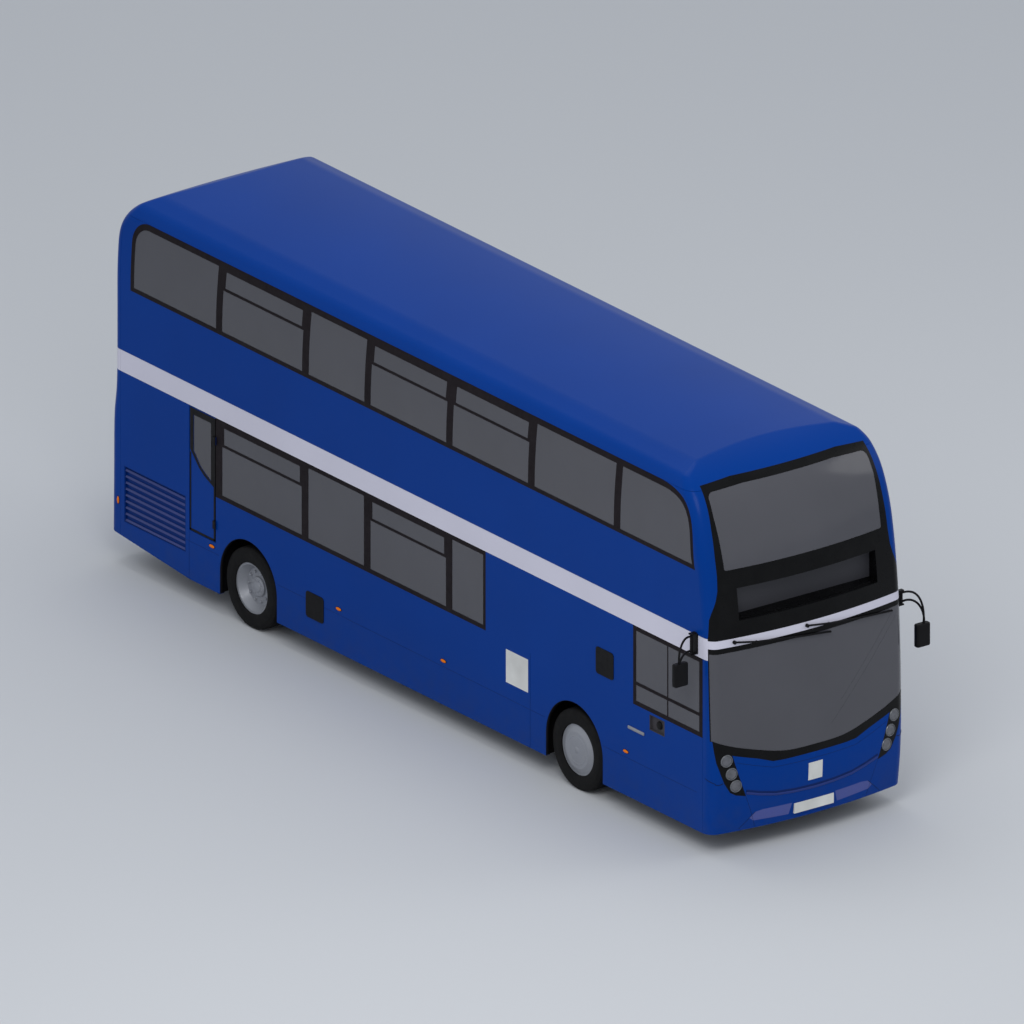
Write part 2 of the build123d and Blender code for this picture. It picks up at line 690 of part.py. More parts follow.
def staircase():
    """Two turning steps, then a straight flight that starts on the offside front wheel box."""
    x = (-(HALF - WALL - 5), -STAIR_IN)
    start = STAIR_Y - 15
    turning = block((-840.0, -STAIR_IN), (-3800.0, start), (FLOOR_Z, FLOOR_Z + STAIR_RISE))
    turning += block((x[0], -840.0), (-3800.0, start), (FLOOR_Z, FLOOR_Z + 2 * STAIR_RISE))
    treads = [(start + STAIR_GOING, BOX_TOP)]
    for step in range(1, 6):
        z = FLOOR_Z + (step + 3) * STAIR_RISE
        y = start + step * STAIR_GOING
        treads.append((y, z))
        treads.append((y + STAIR_GOING, z))
    below = [(y + 45, z - 70) for y, z in reversed(treads[1:])]
    below[0] = (treads[-1][0], below[0][1])
    below.append((treads[0][0] + 45, BOX_TOP))
    return turning, prism_yz(treads + below, x)


def bench(x, y, floor_z, faces=-1):
    """A pair of passenger seats: one cushion and one back on a pedestal."""
    seat_z = floor_z + 420
    profile = ((0, seat_z - 90), (430, seat_z - 110), (520, floor_z + 950), (430, floor_z + 960),
               (350, seat_z + 10), (0, seat_z + 20))
    pts = [(y - faces * (p[0] - 215), p[1]) for p in profile]
    seat = prism_yz(pts, x)
    mid = (x[0] + x[1]) / 2
    leg = block((mid - 60, mid + 60), (y - 150, y + 150), (floor_z, seat_z - 80))
    return seat + leg


def lower_seats():
    """Paired seats of the lower saloon."""
    seats = []
    for side in (-1, 1):
        x = sorted((side * AISLE, side * SEAT_OUT))
        rows = [-900.0, 0.0, 900.0, 1800.0] if side < 0 else [-1300.0, -450.0, 450.0, 1300.0]
        for y in rows:
            seats.append(bench(x, y, FLOOR_Z))
        over_wheel = bench(sorted((side * 600, side * SEAT_OUT)), 2650.0, BOX_TOP - 210.0)
        seats.append(over_wheel - block((-OVER, OVER), (-FAR, FAR), (0, BOX_TOP)))
        last_row = bench(sorted((side * 20, side * 1150)), 4750.0, ENGINE_DECK_Z - 150)
        seats.append(last_row - block((-OVER, OVER), (-FAR, FAR), (0, ENGINE_DECK_Z)))
    return seats


def upper_seats():
    """Paired seats of the upper saloon, and one pair beside the stairwell at the front."""
    seats = []
    for side in (-1, 1):
        x = sorted((side * AISLE, side * 1180.0))
        first = -4000.0 if side > 0 else -1650.0
        rows = 11 if side > 0 else 8
        for row in range(rows):
            seats.append(bench(x, first + row * 790.0, UPPER_FLOOR_Z))
    seats.append(bench((-1170.0, -AISLE), -4050.0, UPPER_FLOOR_Z))
    return seats


def driver_seat():
    """The driver's seat: cushion and back on a pedestal."""
    profile = ((-4405.0, 760.0), (-3960.0, 740.0), (-3875.0, 1540.0), (-3975.0, 1550.0),
               (-4050.0, 862.0), (-4405.0, 872.0))
    seat = prism_yz(profile, (-1050.0, -620.0))
    return seat + block((-945.0, -725.0), (-4340.0, -4040.0), (FLOOR_Z, 780.0))


def driver_cab():
    """Dash, cab partition and steering wheel."""
    dash = block((-1180.0, 380.0), (-5180.0, -4880.0), (FLOOR_Z, 1180.0)) & INNER
    screen = block((-1200.0, -560.0), (-3860.0, -3825.0), (FLOOR_Z, 2100.0))
    hub = (-835.0, -4760.0, 1150.0)
    tilt = Vector(0, 0.42, 0.91)
    wheel = Plane(origin=hub, z_dir=tilt) * Torus(215.0, 16.0)
    bars = Plane(origin=hub, z_dir=tilt) * Box(400.0, 40.0, 20.0)
    column = rod((-835.0, -4890.0, 860.0), (-835.0, -4762.0, 1146.0), 30.0)
    return dash + column + bars + wheel, screen


# ---- running gear -------------------------------------------------------------------------------
def chassis_rails():
    """Two rails, broken where the track rod and the axle beam cross under them."""
    rails = []
    for side in (-1, 1):
        for span in RAIL_SPANS:
            rails.append(side_block(side, RAIL_X, span, RAIL_Z))
    return rails


def cross_members():
    """Members between and outside the rails, the foremost with two towing eyes open from below."""
    members = []
    for y in CROSS_Y:
        span = (y - CROSS_HALF, y + CROSS_HALF)
        middle = block((-RAIL_X[0], RAIL_X[0]), span, CROSS_Z)
        if y == CROSS_Y[0]:
            for x in (-EYE_X, EYE_X):
                lug = block((x - 40, x + 40), (EYE_Y, y), EYE_Z)
                lug += Pos(x, EYE_Y, sum(EYE_Z) / 2) * Cylinder(42.0, EYE_Z[1] - EYE_Z[0])
                middle += lug - Pos(x, EYE_Y, sum(EYE_Z) / 2) * Cylinder(EYE_R, 60.0)
        members.append(middle)
        for side in (-1, 1):
            members.append(side_block(side, (RAIL_X[1], CROSS_REACH), span, CROSS_Z))
    return members


def front_axle():
    """A dropped beam with an upright kingpin in each end."""
    beam = block((-760.0, 760.0), (FRONT_AXLE_Y - 45, FRONT_AXLE_Y + 45), (165.0, 225.0))
    for side in (-1, 1):
        pts = [(side * x, z) for x, z in ((700.0, 165.0), (790.0, 165.0), (935.0, 400.0),
                                          (975.0, 405.0), (975.0, 505.0), (900.0, 480.0),
                                          (740.0, 225.0), (700.0, 225.0))]
        beam += prism_xz(pts, (FRONT_AXLE_Y - 40, FRONT_AXLE_Y + 40))
        boss = Pos(side * KINGPIN_X, FRONT_AXLE_Y, TYRE_R)
        beam += boss * Cylinder(45.0, 100.0)
        beam += boss * Cylinder(KINGPIN_R, 200.0)
    return beam


def knuckle(side):
    """A steering knuckle: two lugs on the kingpin, the wheel spindle and the steering arm."""
    at = Pos(side * KINGPIN_X, FRONT_AXLE_Y, TYRE_R)
    body = Pos(side * 62.0, 0, 0) * Box(16.0, 150.0, 200.0)
    for z in (-78.0, 78.0):
        body += Pos(side * 35.0, 0, z) * Box(70.0, 90.0, 42.0)
        body += Pos(0, 0, z) * Cylinder(45.0, 42.0)
    body -= Cylinder(KINGPIN_R + RUNNING, 300.0)
    spindle_end = FRONT_TYRE_X - KINGPIN_X + 30.0
    body += rod((side * 60.0, 0, 0), (side * spindle_end, 0, 0), SPINDLE_R)
    arm = prism_yz(((36.0, -99.0), (36.0, -70.0), (60.0, -70.0), (STEER_ARM + 20, -140.0),
                    (STEER_ARM + 20, -165.0), (STEER_ARM - 25, -165.0)), (-15.0, 15.0))
    body += arm
    body += Pos(0, STEER_ARM, -185.0) * Cylinder(TRACK_PIN_R, 44.0)
    return at * body


def track_rod():
    """The bar that joins the two steering arms, its eye open at the offside pin."""
    y = FRONT_AXLE_Y + STEER_ARM
    bar = rod((-KINGPIN_X, y, TRACK_ROD_Z), (KINGPIN_X, y, TRACK_ROD_Z), 12.5)
    for side in (-1, 1):
        bar += Pos(side * KINGPIN_X, y, TRACK_ROD_Z) * Cylinder(24.0, 32.0)
    for side, bore in ((1, TRACK_PIN_R + RUNNING), (-1, TRACK_PIN_R + 5.0)):
        bar -= Pos(side * KINGPIN_X, y, TRACK_ROD_Z) * Cylinder(bore, 60.0)
    return bar


def ring_corner(step, along, radius):
    """One corner of a many-sided ring whose lowest side is a flat."""
    turn = 2 * math.pi * (step + 0.5) / TYRE_SIDES
    corner_r = radius / math.cos(math.pi / TYRE_SIDES)
    return (along, corner_r * math.sin(turn), corner_r * math.cos(turn))


def tyre(x, y):
    """One road tyre as a many-sided ring on the rim, standing on one of its flats."""
    half = TYRE_W / 2
    outside = ((half, 350.0), (half - 4, 400.0), (half - 22, TYRE_R - 6), (half - 50, TYRE_R))
    line = [(-half, RIM_R)] + [(-along, radius) for along, radius in outside]
    line += list(reversed(outside)) + [(half, RIM_R)]
    flats = []
    for step in range(TYRE_SIDES):
        for first, last in zip(line, line[1:] + line[:1]):
            corners = (ring_corner(step, *first), ring_corner(step, *last),
                       ring_corner(step + 1, *last), ring_corner(step + 1, *first))
            flats.append(Face(Wire.make_polygon(corners)))
    return Solid(Shell(flats)).translate((x, y, TYRE_R))


def lathe_x(points):
    """An outline of distance along the axle and radius, turned about the axle."""
    return revolve(Plane.XZ * Polygon(*points, align=None), axis=Axis.X)


def rim(offset):
    """A rim barrel."""
    return lathe_x(((offset - RIM_HALF, 262.0), (offset + RIM_HALF, 262.0), (offset + RIM_HALF, RIM_R),
                    (offset - RIM_HALF, RIM_R)))


def front_wheel(side):
    """A steered wheel: a cone stands out to a broad flat cap, and the hub turns on the spindle."""
    wheel = rim(0.0)
    wheel += lathe_x(((100, 264.0), (112, 264.0), (136, 204.0), (136, 0.0), (112, 0.0), (112, 190.0)))
    wheel += lathe_x(((-46, SPINDLE_R + RUNNING), (40, SPINDLE_R + RUNNING), (40, 0.0),
                      (118, 0.0), (118, 90.0), (-46, 90.0)))
    wheel += lathe_x(((-10, 80.0), (8, 80.0), (8, 264.0), (-10, 264.0)))
    if side < 0:
        wheel = wheel.mirror(Plane.YZ)
    return wheel.translate((side * FRONT_TYRE_X, FRONT_AXLE_Y, TYRE_R))


def rear_wheels(side):
    """Twin rear wheels on one hub: the outer disc is a deep dish with the hub standing in it."""
    inner = TWIN_X[0] - TWIN_X[1]
    wheel = rim(0.0) + rim(inner)
    wheel += lathe_x(((98, 264.0), (112, 264.0), (22, 204.0), (22, 60.0), (4, 60.0), (4, 212.0)))
    wheel += lathe_x(((-194, 140.0), (-170, 140.0), (-206, 212.0), (-240, 264.0), (-262, 264.0),
                      (-232, 205.0)))
    bore_end = -150.0
    wheel += lathe_x(((inner - 120, SPINDLE_R + RUNNING), (bore_end, SPINDLE_R + RUNNING),
                      (bore_end, 0.0), (52, 0.0), (52, 96.0), (40, 110.0), (-120, 110.0),
                      (-140, 160.0), (-196, 160.0), (-200, 90.0), (inner - 120, 90.0)))
    if side < 0:
        wheel = wheel.mirror(Plane.YZ)
    return wheel.translate((side * TWIN_X[1], REAR_AXLE_Y, TYRE_R))


def rear_axle():
    """A drop-centre axle: a low casing, a gear case at each end and the wheel spindles."""
    depth = (REAR_AXLE_Y - 110, REAR_AXLE_Y + 110)
    beam = block((-640.0, 640.0), depth, (150.0, 220.0))
    for side in (-1, 1):
        beam += side_block(side, (598.0, 652.0), depth, (150.0, 570.0))
        beam += rod((side * 640.0, REAR_AXLE_Y, TYRE_R), (side * 950.0, REAR_AXLE_Y, TYRE_R), SPINDLE_R)
    return beam


def engine():
    """Engine and gearbox across the tail, as one plain block on the rails."""
    return block((-700.0, 700.0), (4200.0, 4950.0), (300.0, 1100.0))


# ---- doors, covers and mirrors ------------------------------------------------------------------
def door_leaf(front):
    """One leaf of the entrance door on its turning post, and its pane."""
    middle = (DOOR_Y[0] + DOOR_Y[1]) / 2
    if front:
        y = (DOOR_Y[0] + DOOR_GAP, middle - DOOR_GAP / 2)
        post_y = DOOR_Y[0] + DOOR_HINGE_IN
    else:
        y = (middle + DOOR_GAP / 2, DOOR_Y[1] - DOOR_GAP)
        post_y = DOOR_Y[1] - DOOR_HINGE_IN
    z = (DOOR_Z[0] + DOOR_GAP, DOOR_Z[1] - DOOR_GAP)
    x = (HALF - 3 - LEAF, HALF - 3)
    leaf = block(x, y, z)
    pane_y = (y[0] + 70, y[1] - 70)
    pane_z = (z[0] + 110, z[1] - 90)
    leaf -= block((x[0] - 10, x[1] + 10), pane_y, pane_z)
    pane = block((x[1] - 16, x[1] - 6), pane_y, pane_z)
    leaf += rod((DOOR_HINGE_X, post_y, z[0] + 5), (DOOR_HINGE_X, post_y, z[1] - 5), DOOR_POST_R)
    for height in (520.0, 1270.0, 2060.0):
        leaf += block((DOOR_HINGE_X, x[0] + 5), (post_y - 11, post_y + 11), (height, height + 36))
    return leaf, pane


def exit_door():
    """The offside emergency door, with its swept lower window edge and outside hinges, and its pane."""
    x = (-HALF, -(HALF - WALL))
    y = (EXIT_Y[0] + 11, EXIT_Y[1] - 14)
    z = (EXIT_Z[0] + 8, EXIT_Z[1] - 8)
    outline = ((3586.0, 2140.0), (3586.0, 1475.0), (3700.0, 1535.0), (3777.0, 1588.0),
               (3896.0, 1725.0), (3896.0, 2140.0))
    leaf = block(x, y, z) - prism_yz(outline, (-OVER, -1000.0))
    for height in (1000.0, 1960.0):
        leaf += Pos(EXIT_HINGE[0], EXIT_HINGE[1], height) * Cylinder(8.0, 90.0)
        leaf += block((EXIT_HINGE[0] + 2, -HALF), (EXIT_HINGE[1], EXIT_HINGE[1] + 46),
                      (height - 45, height + 45))
    pane = prism_yz(outline, (-HALF + GLASS_SET_BACK, -HALF + GLASS_SET_BACK + GLASS))
    return leaf, pane


def engine_cover():
    """The lid over the engine in the tail, with its louvre slots and its hinges."""
    cover = shell_part((-COVER_X, COVER_X), (REAR_PANEL_Y, FAR), COVER_Z)
    for row in range(6):
        z = 620.0 + row * 80.0
        cover -= block((-640.0, 640.0), (REAR_PANEL_Y, FAR), (z, z + 40.0))
    y, z = COVER_HINGE
    strap = ((y - 44, z - 74), (y - 14, z - 74), (y + 8, z), (y - 7, z), (y - 20, z - 22), (y - 44, z - 28))
    for x in (-640.0, 640.0):
        cover += prism_yz(strap, (x - 40, x + 40))
        cover += rod((x - 40, y, z), (x + 40, y, z), 9.0)
    return cover


def curved_tube(points, radius):
    """A round tube that bends smoothly through its points."""
    path = Spline(*points)
    return sweep(Plane(origin=points[0], z_dir=path % 0) * Circle(radius), path=path)


def side_mirror(side):
    """A looped arm from the fold post to the mirror head."""
    post_y = MIRROR_Y[side]
    post_x = side * MIRROR_X
    head_x = side * (1530.0 if side < 0 else 1505.0)
    head_y = post_y - (65.0 if side < 0 else 140.0)
    head_z = 2092.0 if side < 0 else 1894.0
    arm_z = (2290.0, 2455.0) if side < 0 else (2262.0, 2362.0)
    drop = arm_z[0] - head_z - 90.0
    arm = rod((post_x, post_y, arm_z[0] - 14), (post_x, post_y, arm_z[1] + 14), 16.0)
    for z, bend in ((arm_z[1], 60.0), (arm_z[0], 25.0)):
        out_x = post_x + 0.75 * (head_x - post_x)
        arm += curved_tube(((post_x, post_y, z), (out_x, post_y + 0.7 * (head_y - post_y), z - bend * 0.3),
                            (head_x, head_y, z - bend - 0.25 * drop), (head_x, head_y, head_z + 60)), 12.0)
    head = Pos(head_x, head_y, head_z) * Box(180.0, 78.0, 262.0)
    head = fillet(head.edges().filter_by(Axis.Z), 28.0)
    head = fillet(head.faces().sort_by(Axis.Z)[0].edges() + head.faces().sort_by(Axis.Z)[-1].edges(), 18.0)
    return arm + head


def mirror_brackets():
    """The fold brackets that carry the mirrors on the front corners."""
    parts = []
    for side in (-1, 1):
        post_y = MIRROR_Y[side]
        low, high = (2250.0, 2481.0) if side < 0 else (2226.0, 2384.0)
        pad = side_block(side, (HALF + 0.5, HALF + 14), (post_y - 44, post_y + 44), (low + 10, high + 8))
        for z in (low, high):
            pad += side_block(side, (HALF + 0.5, MIRROR_X + 22), (post_y - 22, post_y + 22), (z, z + 16.0))
        parts.append(pad - OUTER)
    return parts


# ---- lamps and trim -----------------------------------------------------------------------------
def lamp_axis(centre):
    """The place and outward direction of one round lamp on the nearside."""
    x, z = centre
    turn = math.asin(x / (nose_reach(z) - LENGTH / 2 + NOSE_BOW))
    out = Vector(math.sin(turn), -math.cos(turn), 0)
    return Plane(origin=(x, nose_y(x, z), z), z_dir=out)


def headlamps():
    """A dark cluster on each front corner."""
    cluster = (SHELL & LAMP_PRISM) - SCREEN_GLASS
    return cluster, cluster.mirror(Plane.YZ)


def lamp_lenses():
    """Three round lamps on each cluster, each with a shallow domed lens."""
    lenses = []
    profile = ((0.0, -20.0), (LAMP_LENS_R, -20.0), (LAMP_LENS_R, 5.0), (LAMP_LENS_R - 6, 9.0), (0.0, 12.0))
    lens = revolve(Plane.XZ * Polygon(*profile, align=None), axis=Axis.Z)
    for centre in LAMP_CENTRES:
        placed = (lamp_axis(centre) * lens) - FITTING_BED
        lenses.append(placed)
        lenses.append(placed.mirror(Plane.YZ))
    return lenses


def bumper_inserts():
    """The pale inserts low in the bumper."""
    return [SHELL & prism for prism in INSERT_PRISMS]


def side_grilles():
    """Slatted grilles over the engine bay, one on each side."""
    grilles = []
    for side in (-1, 1):
        x = (HALF - 22, HALF - 2)
        back = (HALF - 34, HALF - 21)
        frame = side_block(side, x, GRILLE_Y, GRILLE_Z)
        frame -= block((-OVER, OVER), (GRILLE_Y[0] + 16, GRILLE_Y[1] - 16),
                       (GRILLE_Z[0] + 12, GRILLE_Z[1] - 12))
        for row in range(9):
            z = GRILLE_Z[0] + 34 + row * 68.0
            frame += side_block(side, x, (GRILLE_Y[0] + 10, GRILLE_Y[1] - 10), (z, z + 26))
        for y in (GRILLE_Y[0] + 16, sum(GRILLE_Y) / 2, GRILLE_Y[1] - 26):
            frame += side_block(side, back, (y - 8, y + 18), GRILLE_Z)
        grilles.append(frame)
    return grilles


def side_vents():
    """Two square black panels with rounded corners on the offside."""
    panels = []
    for y, z in (((-3516.0, -3203.0), (1474.0, 1780.0)), ((1599.0, 1912.0), (481.0, 776.0))):
        panel = block((-HALF - 6.0, -HALF), y, z)
        panels.append(fillet(panel.edges().filter_by(Axis.X), 38.0))
    return panels


def side_markers():
    """Amber markers along both sides, and an upright oval one near each rear corner."""
    markers = []
    along = {-1: (3571.0, 1336.0, -512.0, -3730.0), 1: (3571.0, 1336.0, -512.0, -3480.0)}
    out = (HALF + 0.2, HALF + 12)
    for side in (-1, 1):
        for y in along[side]:
            marker = side_block(side, out, (y - 24, y + 24), (726.0, 758.0))
            markers.append(fillet(marker.edges().filter_by(Axis.X), 10.0))
        oval = side_block(side, out, (5208.0, 5240.0), (706.0, 778.0))
        markers.append(fillet(oval.edges().filter_by(Axis.X), 15.0))
    return markers


def tail_lamps():
    """A column of round lamps on a bezel at each rear corner."""
    bottom, top = 1300.0, 1960.0
    x = 1085.0
    face_y = 5402.0
    bezel = block((x - 70, x + 70), (5330.0, face_y), (bottom, top))
    bezel = fillet(bezel.edges().filter_by(Axis.Y), 40.0)
    for row in range(4):
        bezel += Pos(x, face_y, bottom + 80.0 + row * 166.0) * Rot(90, 0, 0) * Cylinder(60.0, 24.0)
    bezel -= FITTING_BED
    return bezel, bezel.mirror(Plane.YZ)


def number_plates():
    """Blank plates on the front and the rear."""
    front_y = nose_y(0.0, 330.0)
    front = block((-260.0, 260.0), (front_y - 16, front_y + 30), (306.0, 420.0))
    rear = block((-260.0, 260.0), (5380.0, 5434.0), (1290.0, 1401.0))
    return front - FITTING_BED, rear - FITTING_BED


def destination_display():
    """The blank display: a flat panel set back behind its opening in the mask."""
    z = (DISPLAY_Z[0] + DISPLAY_LEDGE, DISPLAY_Z[1])
    return block((-DISPLAY_HALF, DISPLAY_HALF), (DISPLAY_FACE_Y, DISPLAY_FACE_Y + 30), z)


def display_tray():
    """The black surround that runs from the mask back to the display, with a sloping ledge."""
    front_y = -5295.0
    back_y = DISPLAY_FACE_Y + 30
    around = block((-DISPLAY_HALF - 15, DISPLAY_HALF + 15), (front_y, back_y),
                   (DISPLAY_Z[0] - 15, DISPLAY_Z[1] + 15))
    tray = (around - block((-DISPLAY_HALF, DISPLAY_HALF), (front_y, back_y), DISPLAY_Z)) & INNER
    ledge = prism_yz(((front_y, DISPLAY_Z[0]), (back_y, DISPLAY_Z[0]), (back_y, DISPLAY_Z[0] + DISPLAY_LEDGE),
                      (DISPLAY_FACE_Y, DISPLAY_Z[0] + DISPLAY_LEDGE)), (-DISPLAY_HALF, DISPLAY_HALF))
    return tray + (ledge & INNER)


def bar(near, far, size):
    """A square bar between two points."""
    near = Vector(*near)
    far = Vector(*far)
    middle = Plane(origin=(near + far) * 0.5, z_dir=far - near)
    return middle * Box(size, size, (far - near).length)


def hub(centre, radius, length):
    """A round boss along the bus, centred on a point."""
    return Pos(*centre) * Rot(90, 0, 0) * Cylinder(radius, length)


def wipers():
    """Two parked wipers along the head of the windscreen, bowed as the glass is."""
    pair = []
    for pivot_x, end_x, tip_x in ((-997.0, -739.0, 203.0), (-93.0, 190.0, 1079.0)):
        base = nose_y(pivot_x, 2410.0)
        middle_x = (end_x + tip_x) / 2
        start = (pivot_x, base - 24, 2410.0)
        end = (end_x, nose_y(end_x, 2372.0) - 28, 2372.0)
        middle = (middle_x, nose_y(middle_x, 2324.0) - 26, 2324.0)
        tip = (tip_x, nose_y(tip_x, 2277.0) - 24, 2277.0)
        arm = hub(start, 20.0, 26.0) + (Pos(pivot_x, base, 2410.0) * Rot(90, 0, 0) * Cylinder(12.0, 60.0))
        arm -= FITTING_BED
        for near, far, knob in ((start, end, 14.0), (end, middle, 12.0), (middle, tip, 10.0)):
            arm += bar(near, far, 17.0)
            arm += hub(far, knob, 20.0)
        pair.append(arm)
    return pair


# ---- write every node ---------------------------------------------------------------------------
save("chassis_rails", *chassis_rails())
save("cross_members", *cross_members())
save("lower_floor", lower_floor())
save("upper_floor", upper_floor())
save("wheel_boxes", *wheel_boxes())
save("offside_lower_wall", lower_wall(-1))
save("nearside_lower_wall", lower_wall(1))
save("offside_upper_wall", upper_wall(-1))
save("nearside_upper_wall", upper_wall(1))
save("window_frames", *window_frames())
save("between_decks_band", *stripe_panels())
save("roof", roof())
save("rear_lower_wall", rear_lower_wall())
save("rear_upper_wall", rear_upper_wall())
save("front_cowl", front_cowl())
save("front_mask", *front_mask())
save("windscreen", PANE_SHELL & SCREEN_GLASS)
save("upper_windscreen", PANE_SHELL & UPPER_SCREEN)
save("side_glass", *side_glass())
save("destination_display", destination_display())
save("display_tray", display_tray())
save("headlamps", *headlamps())
save("lamp_lenses", *lamp_lenses())
save("bumper_inserts", *bumper_inserts())
save("tail_lamps", *tail_lamps())
save("side_markers", *side_markers())
save("side_vents", *side_vents())
save("side_grilles", *side_grilles())
save("number_plates", *number_plates())
save("wipers", *wipers())
save("mirror_brackets", *mirror_brackets())
save("front_axle", front_axle())
save("rear_axle", rear_axle())
save("engine", engine())
save("staircase", *staircase())
save("driver_cab", *driver_cab())
save("driver_seat", driver_seat())
save("lower_seats", *lower_seats())
save("upper_seats", *upper_seats())
for hand, side in (("left", 1), ("right", -1)):
    save("knuckle_" + hand, knuckle(side))
    save("front_tyre_" + hand, tyre(side * FRONT_TYRE_X, FRONT_AXLE_Y))
    save("front_wheel_" + hand, front_wheel(side))
    save("rear_tyres_" + hand, *[tyre(side * x, REAR_AXLE_Y) for x in TWIN_X])
    save("rear_wheels_" + hand, rear_wheels(side))
save("track_rod", track_rod())
for name, front in (("front", True), ("rear", False)):
    leaf, pane = door_leaf(front)
    save("door_leaf_" + name, leaf)
    save("door_glass_" + name, pane)
exit_leaf, exit_pane = exit_door()
save("exit_door", exit_leaf)
save("exit_door_glass", exit_pane)
save("engine_cover", engine_cover())
save("mirror_offside", side_mirror(-1))
save("mirror_nearside", side_mirror(1))
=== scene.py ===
import bpy, bmesh
import math
from functools import partial
from mathutils import Matrix, Vector
from mathutils.bvhtree import BVHTree


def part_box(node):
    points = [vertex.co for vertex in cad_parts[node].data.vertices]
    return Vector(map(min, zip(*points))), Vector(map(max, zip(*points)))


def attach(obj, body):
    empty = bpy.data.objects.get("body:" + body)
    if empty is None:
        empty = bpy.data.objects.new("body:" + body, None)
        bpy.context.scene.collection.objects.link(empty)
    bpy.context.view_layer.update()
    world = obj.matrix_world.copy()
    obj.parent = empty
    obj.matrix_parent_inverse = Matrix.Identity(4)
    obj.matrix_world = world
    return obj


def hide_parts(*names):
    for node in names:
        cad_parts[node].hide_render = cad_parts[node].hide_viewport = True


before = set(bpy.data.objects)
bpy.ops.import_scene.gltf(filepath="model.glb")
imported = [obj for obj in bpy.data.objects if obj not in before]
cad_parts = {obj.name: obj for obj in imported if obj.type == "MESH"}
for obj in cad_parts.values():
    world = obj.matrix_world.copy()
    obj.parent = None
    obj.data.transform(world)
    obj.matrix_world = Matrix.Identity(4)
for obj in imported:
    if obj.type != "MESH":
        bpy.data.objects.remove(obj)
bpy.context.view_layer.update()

# ---- camera --------------------------------------------------------------------------------------
AZIMUTH = math.radians(-36.86)
ELEVATION = math.radians(21.81)
VIEW_WIDTH = 10.836          # metres across the picture
TARGET = Vector((0.0093, -0.0070, 0.0))
TARGET_RISE = 1.828
DISTANCE = 60.0


def make_camera():
    """A parallel view from ahead of the offside front corner."""
    back = Vector((math.sin(AZIMUTH) * math.cos(ELEVATION), -math.cos(AZIMUTH) * math.cos(ELEVATION),
                   math.sin(ELEVATION)))
    data = bpy.data.cameras.new("camera")
    data.type = "ORTHO"
    data.ortho_scale = VIEW_WIDTH
    data.clip_end = 200.0
    camera = bpy.data.objects.new("camera", data)
    bpy.context.scene.collection.objects.link(camera)
    turn = back.to_track_quat("Z", "Y")
    up = turn @ Vector((0, 1, 0))
    camera.rotation_euler = turn.to_euler()
    camera.location = TARGET + up * TARGET_RISE + back * DISTANCE
    bpy.context.scene.camera = camera


make_camera()

# ---- the bus's own places ------------------------------------------------------------------------
SIDE_X = 1.2752              # just proud of the side walls
FRONT_AXLE_Y = -2.82
REAR_AXLE_Y = 2.93
WHEEL_Z = 0.455
FRONT_WHEEL_X = 1.106
REAR_WHEEL_X = (0.804, 1.110)
LOWER_FLOOR_Z = 0.34
UPPER_FLOOR_Z = 2.38
DRIVER_X = -0.835


# ---- materials -----------------------------------------------------------------------------------
def srgb(red, green, blue):
    """Linear colour from the 0 to 255 values a painter's card gives."""
    out = []
    for value in (red, green, blue):
        c = value / 255.0
        out.append(c / 12.92 if c <= 0.04045 else ((c + 0.055) / 1.055) ** 2.4)
    return (*out, 1.0)


class Finish:
    """A material under construction: its shader and a few node helpers."""

    def __init__(self, name, rough=0.5, metal=0.0):
        self.material = bpy.data.materials.new(name)
        self.material.use_nodes = True
        self.nodes = self.material.node_tree.nodes
        self.links = self.material.node_tree.links
        self.shader = self.nodes["Principled BSDF"]
        self.shader.inputs["Roughness"].default_value = rough
        self.shader.inputs["Metallic"].default_value = metal
        self.coords = self.nodes.new("ShaderNodeTexCoord").outputs["Object"]

    def noise(self, scale, detail):
        """A noise pattern's value."""
        node = self.nodes.new("ShaderNodeTexNoise")
        node.inputs["Scale"].default_value = scale
        node.inputs["Detail"].default_value = detail
        self.links.new(self.coords, node.inputs["Vector"])
        return node.outputs["Fac"]

    def range(self, value, low, high, to_low=0.0, to_high=1.0):
        """A value carried from one range to another, and held inside it."""
        node = self.nodes.new("ShaderNodeMapRange")
        for socket, number in zip(("From Min", "From Max", "To Min", "To Max"), (low, high, to_low, to_high)):
            node.inputs[socket].default_value = number
        self.links.new(value, node.inputs["Value"])
        return node.outputs["Result"]

    def math(self, operation, first, second=0.0):
        """One sum on two values."""
        node = self.nodes.new("ShaderNodeMath")
        node.operation = operation
        for socket, value in zip(node.inputs, (first, second)):
            if isinstance(value, (int, float)):
                socket.default_value = value
            else:
                self.links.new(value, socket)
        return node.outputs["Value"]

    def axis(self, letter):
        """The height or other coordinate of a point on the bus."""
        node = self.nodes.new("ShaderNodeSeparateXYZ")
        self.links.new(self.coords, node.inputs["Vector"])
        return node.outputs[letter]

    def blend(self, share, first, second):
        """Two colours mixed by a value."""
        node = self.nodes.new("ShaderNodeMix")
        node.data_type = "RGBA"
        self.links.new(share, node.inputs["Factor"])
        for socket, colour in ((node.inputs[6], first), (node.inputs[7], second)):
            if isinstance(colour, tuple):
                socket.default_value = colour
            else:
                self.links.new(colour, socket)
        return node.outputs[2]

    def colour(self, value):
        """The base colour, plain or from a pattern."""
        socket = self.shader.inputs["Base Color"]
        if isinstance(value, tuple):
            socket.default_value = value
        else:
            self.links.new(value, socket)

    def roughness(self, value):
        """The sheen, from a pattern."""
        self.links.new(value, self.shader.inputs["Roughness"])

    def bump(self, height, strength, distance=0.001):
        """Small relief from a value."""
        node = self.nodes.new("ShaderNodeBump")
        node.inputs["Strength"].default_value = strength
        node.inputs["Distance"].default_value = distance
        self.links.new(height, node.inputs["Height"])
        self.links.new(node.outputs["Normal"], self.shader.inputs["Normal"])


